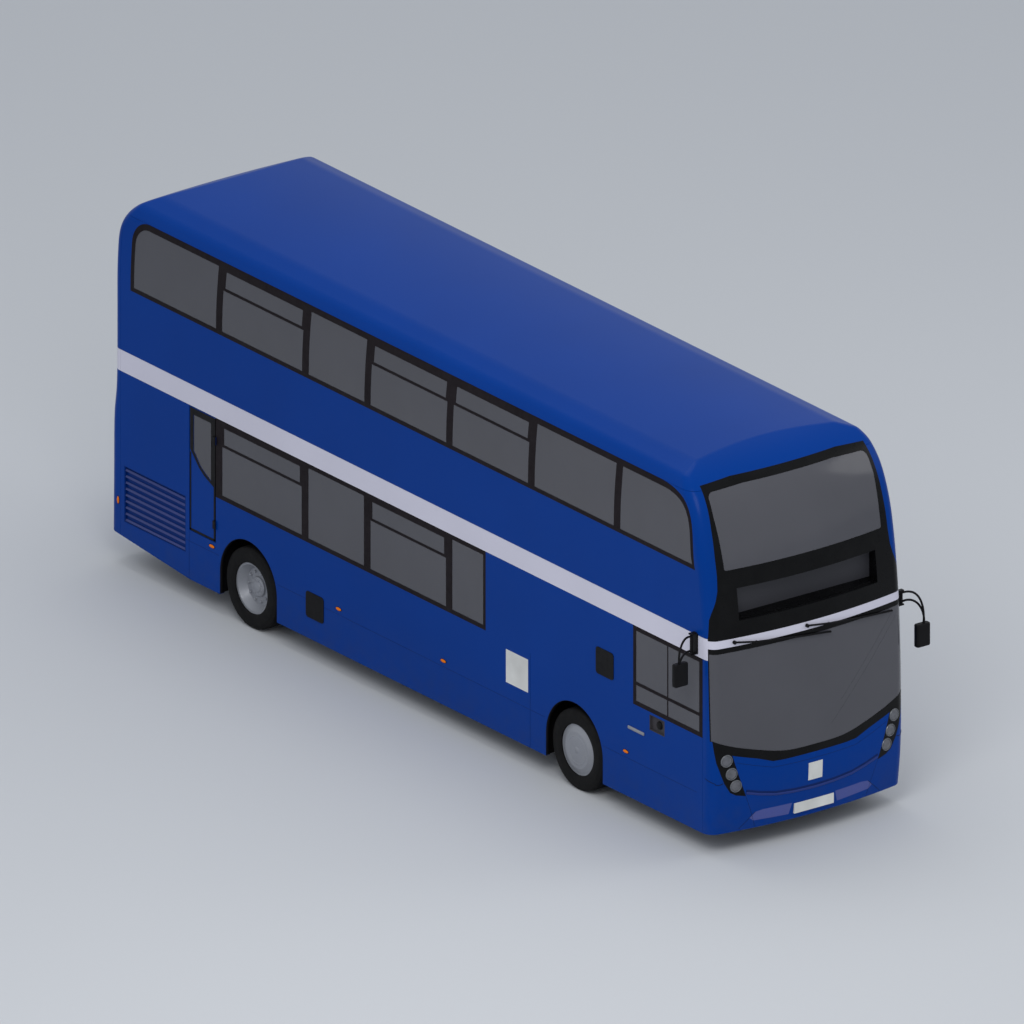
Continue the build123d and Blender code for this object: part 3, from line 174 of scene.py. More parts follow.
def coach_paint(name, colour, dusty):
    """Gloss coach paint: a faint orange peel, slow shade changes and road dust towards the skirt."""
    f = Finish(name, rough=0.32)
    f.shader.inputs["Coat Weight"].default_value = 0.03
    f.shader.inputs["Coat Roughness"].default_value = 0.15
    f.shader.inputs["Specular IOR Level"].default_value = 0.05
    shade = f.range(f.noise(0.7, 2.0), 0.3, 0.7, 0.0, 1.0)
    deep = tuple(c * 0.93 for c in colour[:3]) + (1.0,)
    base = f.blend(shade, deep, colour)
    low = f.range(f.axis("Z"), 0.95, 0.25, 0.0, 0.16)
    grain = f.range(f.noise(9.0, 5.0), 0.35, 0.75, 0.2, 1.0)
    dust = f.math("MULTIPLY", low, grain)
    f.colour(f.blend(dust, base, dusty))
    f.roughness(f.math("ADD", f.math("MULTIPLY", dust, 1.2), 0.30))
    f.bump(f.noise(260.0, 1.0), 0.035, 0.001)
    return f.material


def moulded(name, colour, rough=0.45, grain=420.0, relief=0.12):
    """Moulded plastic or rubber with a fine grain."""
    f = Finish(name, rough=rough)
    f.shader.inputs["Specular IOR Level"].default_value = 0.13
    shade = f.range(f.noise(3.0, 3.0), 0.3, 0.7, 0.0, 1.0)
    lighter = tuple(min(1.0, c * 1.25 + 0.002) for c in colour[:3]) + (1.0,)
    f.colour(f.blend(shade, colour, lighter))
    f.roughness(f.range(f.noise(14.0, 4.0), 0.3, 0.7, rough - 0.06, rough + 0.08))
    f.bump(f.noise(grain, 2.0), relief, 0.0006)
    return f.material


def tinted_glass(name, colour, alpha):
    """Grey tinted glazing with a soft gloss and the faintest film of dust."""
    f = Finish(name, rough=0.12)
    f.shader.inputs["Alpha"].default_value = alpha
    f.shader.inputs["Specular IOR Level"].default_value = 0.45
    film = f.range(f.noise(1.3, 4.0), 0.35, 0.75, 0.0, 1.0)
    dim = tuple(c * 0.92 for c in colour[:3]) + (1.0,)
    f.colour(f.blend(film, dim, colour))
    f.roughness(f.range(f.noise(5.0, 4.0), 0.3, 0.7, 0.10, 0.18))
    return f.material


def metal(name, colour, rough, metallic):
    """Painted or bare metal with fine variation in its sheen."""
    f = Finish(name, rough=rough, metal=metallic)
    shade = f.range(f.noise(2.5, 3.0), 0.3, 0.7, 0.0, 1.0)
    darker = tuple(c * 0.85 for c in colour[:3]) + (1.0,)
    f.colour(f.blend(shade, darker, colour))
    f.roughness(f.range(f.noise(40.0, 4.0), 0.3, 0.7, rough - 0.08, rough + 0.1))
    f.bump(f.noise(300.0, 2.0), 0.05, 0.0004)
    return f.material


def rubber_tyre(name):
    """Tyre rubber: near black, dusted brown-grey where it meets the road."""
    f = Finish(name, rough=0.8)
    f.shader.inputs["Specular IOR Level"].default_value = 0.2
    dust = f.range(f.noise(18.0, 5.0), 0.4, 0.8, 0.0, 0.35)
    f.colour(f.blend(dust, srgb(12, 12, 13), srgb(34, 32, 30)))
    f.bump(f.noise(500.0, 2.0), 0.15, 0.0005)
    return f.material


def moquette(name):
    """Woven seat cloth: a blue ground with small paler flecks in a plain repeat."""
    f = Finish(name, rough=0.9)
    f.shader.inputs["Sheen Weight"].default_value = 0.3
    check = f.nodes.new("ShaderNodeTexVoronoi")
    check.inputs["Scale"].default_value = 26.0
    check.inputs["Randomness"].default_value = 0.0
    f.links.new(f.coords, check.inputs["Vector"])
    fleck = f.range(check.outputs["Distance"], 0.16, 0.22, 1.0, 0.0)
    f.colour(f.blend(fleck, srgb(28, 44, 92), srgb(120, 132, 168)))
    f.bump(f.noise(900.0, 2.0), 0.4, 0.0008)
    return f.material


def vinyl_floor(name):
    """Slip-resistant floor sheet with small mineral flecks."""
    f = Finish(name, rough=0.7)
    fleck = f.range(f.noise(420.0, 1.0), 0.62, 0.68, 0.0, 1.0)
    f.colour(f.blend(fleck, srgb(70, 73, 80), srgb(118, 121, 128)))
    f.bump(f.noise(600.0, 1.0), 0.15, 0.0006)
    return f.material


def lamp_glass(name):
    """Clear ribbed lamp glass over a bright bowl: pale grey with fine upright flutes."""
    f = Finish(name, rough=0.14)
    wave = f.nodes.new("ShaderNodeTexWave")
    wave.inputs["Scale"].default_value = 42.0
    f.links.new(f.coords, wave.inputs["Vector"])
    shade = f.range(f.noise(20.0, 2.0), 0.3, 0.7, 0.0, 1.0)
    f.colour(f.blend(shade, srgb(84, 85, 90), srgb(104, 105, 111)))
    f.bump(wave.outputs["Fac"], 0.25, 0.0015)
    return f.material


def blank_leds(name):
    """An unlit display: dark grey with its grid of small round lamps."""
    f = Finish(name, rough=0.5)
    f.shader.inputs["Specular IOR Level"].default_value = 0.25
    dots = f.nodes.new("ShaderNodeTexVoronoi")
    dots.inputs["Scale"].default_value = 84.0
    dots.inputs["Randomness"].default_value = 0.0
    f.links.new(f.coords, dots.inputs["Vector"])
    lamp = f.range(dots.outputs["Distance"], 0.28, 0.40, 1.0, 0.0)
    f.colour(f.blend(lamp, srgb(58, 58, 63), srgb(104, 102, 98)))
    f.bump(lamp, 0.3, 0.001)
    return f.material


BLUE = srgb(0, 57, 141)
M = {
    "blue": coach_paint("coach_blue", BLUE, srgb(70, 72, 78)),
    "pale": coach_paint("band_white", srgb(214, 212, 226), srgb(120, 116, 112)),
    "pale_blue": coach_paint("insert_blue", srgb(84, 94, 160), srgb(90, 90, 100)),
    "gloss_black": moulded("gloss_black", srgb(6, 6, 7), 0.3, 60.0, 0.02),
    "black": moulded("satin_black", srgb(12, 11, 13), 0.5),
    "rubber": moulded("seal_rubber", srgb(20, 13, 17), 0.6, 500.0, 0.1),
    "glass": tinted_glass("tinted_glass", srgb(84, 84, 90), 0.90),
    "display": blank_leds("display_panel"),
    "steel": metal("chassis_black", srgb(34, 35, 37), 0.55, 0.2),
    "iron": metal("cast_iron", srgb(88, 88, 86), 0.6, 0.5),
    "silver": metal("wheel_silver", srgb(150, 152, 158), 0.42, 0.35),
    "tyre": rubber_tyre("tyre_rubber"),
    "cloth": moquette("seat_moquette"),
    "floor": vinyl_floor("vinyl_floor"),
    "cab": moulded("cab_plastic", srgb(52, 53, 57), 0.6),
    "amber": moulded("amber_lens", srgb(222, 112, 8), 0.2, 80.0, 0.05),
    "red": moulded("red_lens", srgb(150, 14, 14), 0.2, 80.0, 0.05),
    "plate": moulded("blank_plate", srgb(206, 206, 202), 0.35, 300.0, 0.02),
    # A darker copy of the coach blue for the grille surrounds and gauze: painted shade.
    "grille_painted_shade": coach_paint("grille_painted_shade_blue", srgb(2, 44, 116), srgb(50, 54, 66)),
    "glass_line": moulded("glass_line", srgb(66, 66, 71), 0.4),
    # A paler blue for the grille slats: painted highlight.
    "slat": coach_paint("slat_painted_highlight", srgb(68, 77, 130), srgb(84, 84, 100)),
    "lens": lamp_glass("lamp_glass"),
    "seam": moulded("seam_sealer", srgb(5, 7, 14), 0.6, 500.0, 0.02),
    "skirt_seam": moulded("skirt_seam", srgb(3, 36, 96), 0.6, 500.0, 0.02),
    # Paler and darker copies of the coach blue along the bumper's crease: painted highlight and painted
    # shade.
    "crease": coach_paint("crease_painted_highlight", srgb(44, 62, 128), srgb(80, 80, 96)),
    "crease_painted_shade": coach_paint("crease_painted_shade", srgb(10, 38, 98), srgb(60, 60, 76)),
    "liner": moulded("recess_liner", srgb(62, 60, 64), 0.6),
    "ring_grey": metal("lamp_bezel", srgb(120, 122, 126), 0.35, 0.6),
    "seat_shell": moulded("seat_shell", srgb(58, 60, 66), 0.5),
    "grab_yellow": moulded("grab_yellow", srgb(214, 176, 22), 0.35, 200.0, 0.03),
    "mirror": metal("mirror_silver", srgb(215, 218, 222), 0.06, 1.0),
}

NODE_FINISH = {
    "blue": ("offside_lower_wall", "nearside_lower_wall", "offside_upper_wall", "nearside_upper_wall", "roof",
             "rear_lower_wall", "rear_upper_wall", "front_cowl", "exit_door", "engine_cover"),
    "pale": ("between_decks_band",),
    "pale_blue": ("bumper_inserts",),
    "gloss_black": ("front_mask", "headlamps", "display_tray", "tail_lamps"),
    "black": ("wipers", "mirror_brackets", "mirror_offside", "mirror_nearside", "door_leaf_front",
              "door_leaf_rear", "wheel_boxes", "side_vents"),
    "rubber": ("window_frames",),
    "glass": ("windscreen", "upper_windscreen", "side_glass", "door_glass_front", "door_glass_rear",
              "exit_door_glass"),
    "lens": ("lamp_lenses",),
    "display": ("destination_display",),
    "amber": ("side_markers",),
    "plate": ("number_plates",),
    "steel": ("chassis_rails", "cross_members", "front_axle", "rear_axle", "knuckle_left", "knuckle_right",
              "track_rod"),
    "iron": ("engine",),
    "silver": ("front_wheel_left", "front_wheel_right", "rear_wheels_left", "rear_wheels_right"),
    "tyre": ("front_tyre_left", "front_tyre_right", "rear_tyres_left", "rear_tyres_right"),
    "cloth": ("lower_seats", "upper_seats", "driver_seat"),
    "floor": ("lower_floor", "upper_floor", "staircase"),
    "cab": ("driver_cab",),
}


def dress_nodes():
    """Every carried-over piece takes its finish."""
    for finish, names in NODE_FINISH.items():
        for name in names:
            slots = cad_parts[name].data.materials
            if not slots:
                slots.append(M[finish])
            for index in range(len(slots)):
                slots[index] = M[finish]


dress_nodes()


# ---- tools for the modelled pieces ---------------------------------------------------------------
def surface_of(*names):
    """The outer skin of some nodes, ready to be measured."""
    bm = bmesh.new()
    for name in names:
        bm.from_mesh(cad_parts[name].data)
    tree = BVHTree.FromBMesh(bm)
    bm.free()
    return tree


def new_piece(name, bm, finish, body="bus", smooth=True, recalc=True):
    """A bmesh becomes a piece that rides on a body."""
    if recalc:
        bmesh.ops.remove_doubles(bm, verts=bm.verts, dist=0.00005)
        bmesh.ops.recalc_face_normals(bm, faces=bm.faces)
    mesh = bpy.data.meshes.new(name)
    bm.to_mesh(mesh)
    bm.free()
    for face in mesh.polygons:
        face.use_smooth = smooth
    if smooth:
        mesh.set_sharp_from_angle(angle=math.radians(35))
    mesh.materials.append(M[finish])
    piece = bpy.data.objects.new(name, mesh)
    bpy.context.scene.collection.objects.link(piece)
    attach(piece, body)
    return piece


def add_box(bm, low, high, bevel=0.0, segments=2):
    """A box between two corners, its edges rounded."""
    centre = [(a + b) / 2 for a, b in zip(low, high)]
    size = [b - a for a, b in zip(low, high)]
    place = Matrix.Translation(centre) @ Matrix.Diagonal((*size, 1.0))
    made = bmesh.ops.create_cube(bm, size=1.0, matrix=place)
    if bevel:
        edges = list({e for v in made["verts"] for e in v.link_edges})
        bmesh.ops.bevel(bm, geom=edges, offset=bevel, segments=segments, affect="EDGES", profile=0.5,
                        material=-1)


def add_lathe(bm, profile, place, steps=32):
    """An outline of radius and height spun about its own Z, then put in place."""
    verts = [bm.verts.new((radius, 0.0, height)) for radius, height in profile]
    edges = [bm.edges.new(pair) for pair in zip(verts, verts[1:])]
    made = bmesh.ops.spin(bm, geom=verts + edges, cent=(0, 0, 0), axis=(0, 0, 1), dvec=(0, 0, 0),
                          angle=math.tau, steps=steps, use_merge=True)
    turned = {v for item in made["geom_last"] for v in (item.verts if hasattr(item, "verts") else (item,))}
    reach = set(verts) | turned
    frontier = list(reach)
    while frontier:
        for edge in frontier.pop().link_edges:
            for vert in edge.verts:
                if vert not in reach:
                    reach.add(vert)
                    frontier.append(vert)
    bmesh.ops.transform(bm, matrix=place, verts=[v for v in reach if v.is_valid])


def facing(point, direction):
    """The place of something whose own Z points along a direction."""
    turn = Vector(direction).to_track_quat("Z", "Y").to_matrix().to_4x4()
    return Matrix.Translation(point) @ turn


def add_tube(bm, points, radius, sides=8, cyclic=False):
    """A round bar or bead along a line of points."""
    curve = bpy.data.curves.new("line", "CURVE")
    curve.dimensions = "3D"
    curve.bevel_depth = radius
    curve.bevel_resolution = max(0, sides // 4 - 1)
    curve.use_fill_caps = True
    spline = curve.splines.new("POLY")
    spline.points.add(len(points) - 1)
    for knot, point in zip(spline.points, points):
        knot.co = (*point, 1.0)
    spline.use_cyclic_u = cyclic
    holder = bpy.data.objects.new("line", curve)
    bpy.context.scene.collection.objects.link(holder)
    bpy.context.view_layer.update()
    mesh = bpy.data.meshes.new_from_object(holder.evaluated_get(bpy.context.evaluated_depsgraph_get()))
    bm.from_mesh(mesh)
    bpy.data.objects.remove(holder)
    bpy.data.curves.remove(curve)
    bpy.data.meshes.remove(mesh)


def lay_in(bm, part):
    """A finished bmesh laid into another, and let go."""
    mesh = bpy.data.meshes.new("part")
    part.to_mesh(mesh)
    part.free()
    bm.from_mesh(mesh)
    bpy.data.meshes.remove(mesh)


def along(points, gap=0.04):
    """A line of corners filled in with evenly spaced points."""
    filled = [Vector(points[0])]
    for first, last in zip(points, points[1:]):
        first, last = Vector(first), Vector(last)
        count = max(1, int((last - first).length / gap))
        filled += [first.lerp(last, step / count) for step in range(1, count + 1)]
    return filled


SKIN = surface_of("front_cowl", "front_mask", "between_decks_band", "headlamps", "bumper_inserts",
                  "offside_lower_wall", "nearside_lower_wall", "rear_lower_wall", "rear_upper_wall",
                  "engine_cover", "offside_upper_wall", "nearside_upper_wall", "roof", "window_frames",
                  "windscreen", "exit_door")


def on_front(x, z, lift=0.0):
    """The point of the front's skin straight ahead of a place."""
    hit, normal, _, _ = SKIN.ray_cast(Vector((x, -7.0, z)), Vector((0, 1, 0)))
    return hit + normal * lift


def on_rear(x, z, lift=0.0):
    """The point of the tail's skin straight behind a place."""
    hit, normal, _, _ = SKIN.ray_cast(Vector((x, 7.0, z)), Vector((0, -1, 0)))
    return hit + normal * lift


def on_side(side, y, z, lift=0.0):
    """The point of a side's skin straight out from a place."""
    hit, normal, _, _ = SKIN.ray_cast(Vector((side * 3.0, y, z)), Vector((-side, 0, 0)))
    return hit + normal * lift


def add_plate(bm, place, across, up, thick, columns=6, rows=6):
    """A thin plate that follows the skin: place gives a skin point for each pair of values."""
    made = bmesh.ops.create_grid(bm, x_segments=columns, y_segments=rows, size=0.5)
    faces = list({f for v in made["verts"] for f in v.link_faces})
    for vert in made["verts"]:
        a = across[0] + (vert.co.x + 0.5) * (across[1] - across[0])
        b = up[0] + (vert.co.y + 0.5) * (up[1] - up[0])
        vert.co = place(a, b)
    grown = bmesh.ops.extrude_face_region(bm, geom=faces)
    tops = [v for v in grown["geom"] if isinstance(v, bmesh.types.BMVert)]
    middle = place(sum(across) / 2, sum(up) / 2, 1.0) - place(sum(across) / 2, sum(up) / 2, 0.0)
    bmesh.ops.translate(bm, verts=tops, vec=middle.normalized() * thick)


# ---- seams of the body panels --------------------------------------------------------------------
def make_seams():
    """The dark joints between the panels of the nose, and the faint ones of the skirt and the tail."""
    bm = bmesh.new()
    half_bonnet = ((0.0, 0.895), (0.25, 0.897), (0.54, 0.905), (0.78, 0.975), (0.99, 1.043))
    bonnet = [(-x, z) for x, z in reversed(half_bonnet)] + list(half_bonnet[1:])
    lines = [bonnet]
    for side in (-1, 1):
        lines.append([(side * 0.872, 0.637), (side * 0.80, 0.45), (side * 0.745, 0.285), (side * 0.74, 0.25)])
    for line in lines:
        flat = along([(x, 0.0, z) for x, z in line], 0.03)
        add_tube(bm, [on_front(p.x, p.z, -0.0022) for p in flat], 0.0036, 4)
    for side in (-1, 1):
        line = [on_side(side, y, z, 0.0006) for y, z in ((-5.13, 0.877), (-5.165, 0.867), (-5.19, 0.858))]
        line += [on_side(side, y, z, 0.0006) for y, z in ((-5.21, 0.851), (-5.225, 0.844), (-5.24, 0.838))]
        for x, z in ((1.225, 0.826), (1.205, 0.822), (1.180, 0.824), (1.148, 0.836)):
            line.append(on_front(side * x, z, 0.0004))
        add_tube(bm, line, 0.0036, 4)
        flat = along([(side * 0.93, 0.0, 0.262), (side * 0.745, 0.0, 0.427)], 0.03)
        add_tube(bm, [on_front(p.x, p.z, 0.0002) for p in flat], 0.0022, 4)
    new_piece("nose_seams", bm, "seam", recalc=False)
    bm = bmesh.new()
    skirt_z = 0.675
    for side in (-1, 1):
        runs = [((-4.98, skirt_z), (-3.34, skirt_z)), ((-2.30, skirt_z), (2.41, skirt_z)),
                ((3.45, skirt_z), (4.03, skirt_z)), ((-2.042, 0.245), (-2.042, 1.32)),
                ((3.974, 0.25), (3.974, 0.79))]
        if side > 0:
            runs = [run for run in runs if run[0][0] > -4.5]
        for run in runs:
            flat = along([(0.0, y, z) for y, z in run], 0.4)
            add_tube(bm, [on_side(side, p.y, p.z, 0.0002) for p in flat], 0.0022, 4)
    for line in (((-1.12, 1.275), (1.12, 1.275)), ((-1.1, 0.415), (1.1, 0.415))):
        flat = along([(x, 0.0, z) for x, z in line], 0.06)
        add_tube(bm, [on_rear(p.x, p.z, 0.0002) for p in flat], 0.0022, 4)
    new_piece("skirt_seams", bm, "skirt_seam", recalc=False)


def make_arch_trim():
    """A thin black lip inside every wheel arch."""
    bm = bmesh.new()
    radius, centre_z, foot, steps = 0.5024, 0.504, 0.246, 32
    depth, inset, thick = 0.054, 0.003, 0.002
    for side in (-1, 1):
        for axle_y in (FRONT_AXLE_Y, REAR_AXLE_Y):
            line = [(axle_y - radius, foot)]
            for step in range(steps + 1):
                turn = math.pi * step / steps
                line.append((axle_y - radius * math.cos(turn), centre_z + radius * math.sin(turn)))
            line.append((axle_y + radius, foot))
            outer = [bm.verts.new((side * 1.2748, y, z)) for y, z in line]
            edges = [bm.edges.new(pair) for pair in zip(outer, outer[1:])]
            grown = bmesh.ops.extrude_edge_only(bm, edges=edges)["geom"]
            inner = [v for v in grown if isinstance(v, bmesh.types.BMVert)]
            bmesh.ops.translate(bm, verts=inner, vec=(-side * depth, 0, 0))
    bmesh.ops.recalc_face_normals(bm, faces=bm.faces)
    for vert in bm.verts:
        axle_y = FRONT_AXLE_Y if vert.co.y < 0 else REAR_AXLE_Y
        away = Vector((0, vert.co.y - axle_y, max(0.0, vert.co.z - centre_z)))
        vert.co -= away.normalized() * inset
    lip = new_piece("arch_lips", bm, "black", recalc=False)
    wall = lip.modifiers.new("wall", "SOLIDIFY")
    wall.thickness = thick
    wall.offset = 0.0


def make_bumper_crease():
    """The soft step across the bumper: a pale roll with a darker one above it, the pale colour painted
    highlight and the dark one painted shade.
    """
    half = ((0.0, 0.556), (0.25, 0.562), (0.5, 0.582), (0.70, 0.625), (0.868, 0.672))
    line = [(-x, z) for x, z in reversed(half)] + list(half[1:])
    flat = along([(x, 0.0, z) for x, z in line], 0.03)
    # The pale roll is painted highlight, the darker roll above it painted shade.
    for name, finish, rise, lift in (("bumper_crease_painted_highlight", "crease", 0.002, -0.0125),
                                     ("bumper_crease_painted_shade", "crease_painted_shade", 0.028, -0.0145)):
        bm = bmesh.new()
        add_tube(bm, [on_front(p.x, p.z + rise, lift) for p in flat], 0.0200, 32)
        new_piece(name, bm, finish, recalc=False)


# ---- plain plates, handle and filler -------------------------------------------------------------
def make_pale_plates():
    """Two bare pale plates: one on the bonnet panel, one on the offside."""
    bm = bmesh.new()
    add_plate(bm, on_front, (-0.092, 0.092), (0.65, 0.85), 0.002)
    add_plate(bm, partial(on_side, -1), (-2.004, -1.615), (0.857, 1.233), 0.002)
    new_piece("pale_plates", bm, "plate", smooth=False)


def make_side_fittings():
    """The pill-shaped handle, and the knob and liner in the filler's recess."""
    bm = bmesh.new()
    add_box(bm, (-1.290, -4.058, 1.022), (-1.272, -3.774, 1.058), 0.0085, 3)
    new_piece("side_handle", bm, "silver")
    bm = bmesh.new()
    place = facing((-1.2405, -4.29, 1.209), (-1, 0, 0))
    add_lathe(bm, ((0.0, 0.028), (0.030, 0.028), (0.040, 0.022), (0.046, 0.012), (0.046, 0.0), (0.058, 0.0),
                   (0.060, -0.003)), place, 32)
    new_piece("filler_cap", bm, "black")
    bm = bmesh.new()
    low_y, high_y, low_z, high_z = -4.412, -4.145, 1.121, 1.297
    mouth, back, sheet = -1.274, -1.2405, 0.005
    for low, high in (((mouth, low_y, low_z), (back, low_y + sheet, high_z)),
                      ((mouth, high_y - sheet, low_z), (back, high_y, high_z)),
                      ((mouth, low_y, low_z), (back, high_y, low_z + sheet)),
                      ((mouth, low_y, high_z - sheet), (back, high_y, high_z)),
                      ((-1.243, low_y, low_z), (-1.2402, high_y, high_z))):
        add_box(bm, low, high)
    new_piece("filler_liner", bm, "liner", smooth=False)


# ---- emergency door ------------------------------------------------------------------------------
def make_exit_trim():
    """The black frame round the emergency door's window, its rubber edge and its hinge sleeves."""
    bm = bmesh.new()
    glass = ((3.586, 2.140), (3.586, 1.475), (3.700, 1.535), (3.777, 1.588), (3.896, 1.725), (3.896, 2.140))
    outer = ((3.5155, 2.212), (3.5155, 1.413), (3.712, 1.502), (3.796, 1.562), (3.955, 1.735), (3.955, 2.210))
    loops = []
    for outline in (glass, outer):
        verts = [bm.verts.new((-SIDE_X, y, z)) for y, z in outline]
        loops += [bm.edges.new((a, b)) for a, b in zip(verts, verts[1:] + verts[:1])]
    bmesh.ops.bridge_loops(bm, edges=loops)
    grown = bmesh.ops.extrude_face_region(bm, geom=list(bm.faces))
    tops = [v for v in grown["geom"] if isinstance(v, bmesh.types.BMVert)]
    bmesh.ops.translate(bm, vec=(-0.003, 0, 0), verts=tops)
    proud, sunk = -1.2775, -1.2745
    add_box(bm, (proud, 3.517, 0.812), (sunk, 3.540, 1.45))
    add_box(bm, (proud, 3.937, 0.812), (sunk, 3.959, 1.70))
    add_box(bm, (proud, 3.517, 0.810), (sunk, 3.959, 0.834))
    add_box(bm, (-1.2755, 3.5130, 0.812), (-1.2380, 3.5160, 2.212))
    sleeve_r, half = 0.0087, 0.0465
    for middle in (1.000, 1.960):
        add_lathe(bm, ((0.0, -half), (sleeve_r, -half), (sleeve_r, half), (0.0, half)),
                  Matrix.Translation((-1.290, 3.500, middle)), 24)
        add_box(bm, (-1.2892, 3.5045, middle - 0.0455), (sunk, 3.5470, middle + 0.0455), 0.001, 1)
    new_piece("exit_door_trim", bm, "black", body="exit_door", smooth=False)


# ---- lamps ---------------------------------------------------------------------------------------
LAMP_CENTRES = ((1.107, 1.085), (1.050, 0.927), (0.996, 0.779))


def make_lamp_rings():
    """A dished bezel round each front lamp."""
    bm = bmesh.new()
    corner_middle_y = 0.978
    profile = ((0.0590, -0.006), (0.0590, 0.0085), (0.0615, 0.0105), (0.0660, 0.0095), (0.0705, 0.0040),
               (0.0715, -0.006))
    for side in (-1, 1):
        for x, z in LAMP_CENTRES:
            skin = on_front(side * x, z)
            out = Vector((side * x, skin.y - corner_middle_y, 0)).normalized()
            add_lathe(bm, profile, facing(skin, out), 48)
    new_piece("lamp_rings", bm, "ring_grey")


def make_grilles():
    """Side grilles: a blue surround and gauze in painted shade, with nine sloping slats in a paler blue that
    is painted highlight.
    """
    low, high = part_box("side_grilles")
    low_y, low_z, high_y, high_z = low[1], low[2], high[1], high[2]
    post, bar, margin = 0.014, 0.010, 0.003
    pitch, first_z, half_height, half_thick = 0.071, 0.026, 0.0125, 0.0035
    frames, slats = bmesh.new(), bmesh.new()
    for side in (-1, 1):
        inner, outer = sorted((side * 1.2460, side * 1.2490))
        add_box(frames, (inner, low_y + margin, low_z + margin), (outer, high_y - margin, high_z - margin))
        inner, outer = sorted((side * 1.2530, side * 1.2725))
        for y0, y1, z0, z1 in ((low_y, low_y + post, low_z, high_z), (high_y - post, high_y, low_z, high_z),
                               (low_y + post, high_y - post, low_z, low_z + bar),
                               (low_y + post, high_y - post, high_z - bar, high_z)):
            add_box(frames, (inner, y0, z0), (outer, y1, z1), 0.0015, 1)
        tilt = Matrix.Rotation(side * math.radians(-32), 4, "Y")
        for row in range(9):
            slat = bmesh.new()
            add_box(slat, (-half_thick, low_y + post + 0.0005, -half_height),
                    (half_thick, high_y - post - 0.0005, half_height), 0.0025, 2)
            place = Matrix.Translation((side * 1.2620, 0, low_z + first_z + row * pitch))
            bmesh.ops.transform(slat, matrix=place @ tilt, verts=slat.verts)
            lay_in(slats, slat)
    # The surrounds and gauze are painted shade, the slats painted highlight.
    surround = new_piece("grille_surrounds", frames, "grille_painted_shade", smooth=False)
    blades = new_piece("grille_slats", slats, "slat")
    for piece in (surround, blades):
        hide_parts("side_grilles")


def make_markers():
    """Oval amber markers, each a domed lens in a thin black rim."""
    lenses, rims = bmesh.new(), bmesh.new()
    marker_z = 0.742
    for side in (-1, 1):
        spots = [(y, 0.046, 0.0185) for y in (3.571, 1.336, -0.512, -3.73 if side < 0 else -3.48)]
        spots.append((5.224, 0.0175, 0.043))
        for y, half_y, half_z in spots:
            turn = Matrix(((0, 0, side, side * SIDE_X), (side, 0, 0, y), (0, 1, 0, marker_z), (0, 0, 0, 1)))
            shape = Matrix.Diagonal((half_y, half_z, 1, 1))
            add_lathe(lenses, ((0.0, 0.0115), (0.40, 0.0112), (0.75, 0.0095), (0.93, 0.0065), (1.0, 0.0)),
                      turn @ shape, 32)
            add_lathe(rims, ((1.0, 0.0), (1.0, 0.0045), (1.10, 0.0045), (1.16, 0.0)), turn @ shape, 32)
    amber = new_piece("marker_lenses", lenses, "amber")
    dark = new_piece("marker_rims", rims, "black")
    for piece in (amber, dark):
        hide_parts("side_markers")


def make_glass_lines():
    """The cab window's lower divider, and two fine heater lines on the windscreen."""
    bm = bmesh.new()
    add_box(bm, (-1.2755, -4.4715, 1.372), (-1.2705, -4.4565, 1.560))
    new_piece("cab_window_divider", bm, "rubber", smooth=False)
    bm = bmesh.new()
    for line in (((1.118, 2.264), (0.340, 1.464)), ((1.155, 2.196), (0.205, 1.224))):
        flat = along([(x, 0.0, z) for x, z in line], 0.05)
        add_tube(bm, [on_front(p.x, p.z, 0.0) for p in flat], 0.0016, 4)
    new_piece("windscreen_lines", bm, "glass_line", recalc=False)


# ---- tyres and wheels ----------------------------------------------------------------------------
def add_tyre(bm, centre):
    """One tyre: sidewalls with their rim guard, a ribbed tread and cross cuts in its shoulders."""
    side = ((0.286, 0.128), (0.300, 0.134), (0.318, 0.135), (0.325, 0.138), (0.352, 0.1385), (0.385, 0.1370),
            (0.402, 0.1365), (0.405, 0.1345), (0.428, 0.1290), (0.4430, 0.1200))
    tread = ((0.4500, 0.1120), (0.4535, 0.0860), (0.4430, 0.0850), (0.4430, 0.0770), (0.4540, 0.0760),
             (0.4548, 0.0330), (0.4440, 0.0320), (0.4440, 0.0240), (0.4550, 0.0230), (0.4550, 0.0))
    whole = list(side) + list(tread)
    whole += [(r, -x) for r, x in reversed(whole[:-1])]
    steps, cut_depth = 90, 0.007
    first = [bm.verts.new((x, 0.0, -r)) for r, x in whole]
    edges = [bm.edges.new(pair) for pair in zip(first, first[1:])]
    edges.append(bm.edges.new((first[-1], first[0])))
    before = set(bm.faces)
    bmesh.ops.spin(bm, geom=first + edges, cent=(0, 0, 0), axis=(1, 0, 0), dvec=(0, 0, 0), angle=math.tau,
                   steps=steps, use_merge=True)
    fresh = [f for f in bm.faces if f not in before]
    cuts = []
    for face in fresh:
        middle = face.calc_center_median()
        radius = math.hypot(middle.y, middle.z)
        turn = int(round(math.degrees(math.atan2(middle.y, middle.z)) / (360 / steps) - 0.5)) % steps
        if radius > 0.438 and 0.1 < abs(middle.x) < 0.128 and turn % 3 == 0:
            cuts.append(face)
    sunk = bmesh.ops.extrude_discrete_faces(bm, faces=cuts)["faces"]
    for face in sunk:
        for vert in face.verts:
            radius = math.hypot(vert.co.y, vert.co.z)
            vert.co.y *= (radius - cut_depth) / radius
            vert.co.z *= (radius - cut_depth) / radius
    moved = {v for f in bm.faces if f not in before for v in f.verts}
    bmesh.ops.translate(bm, verts=list(moved), vec=centre)


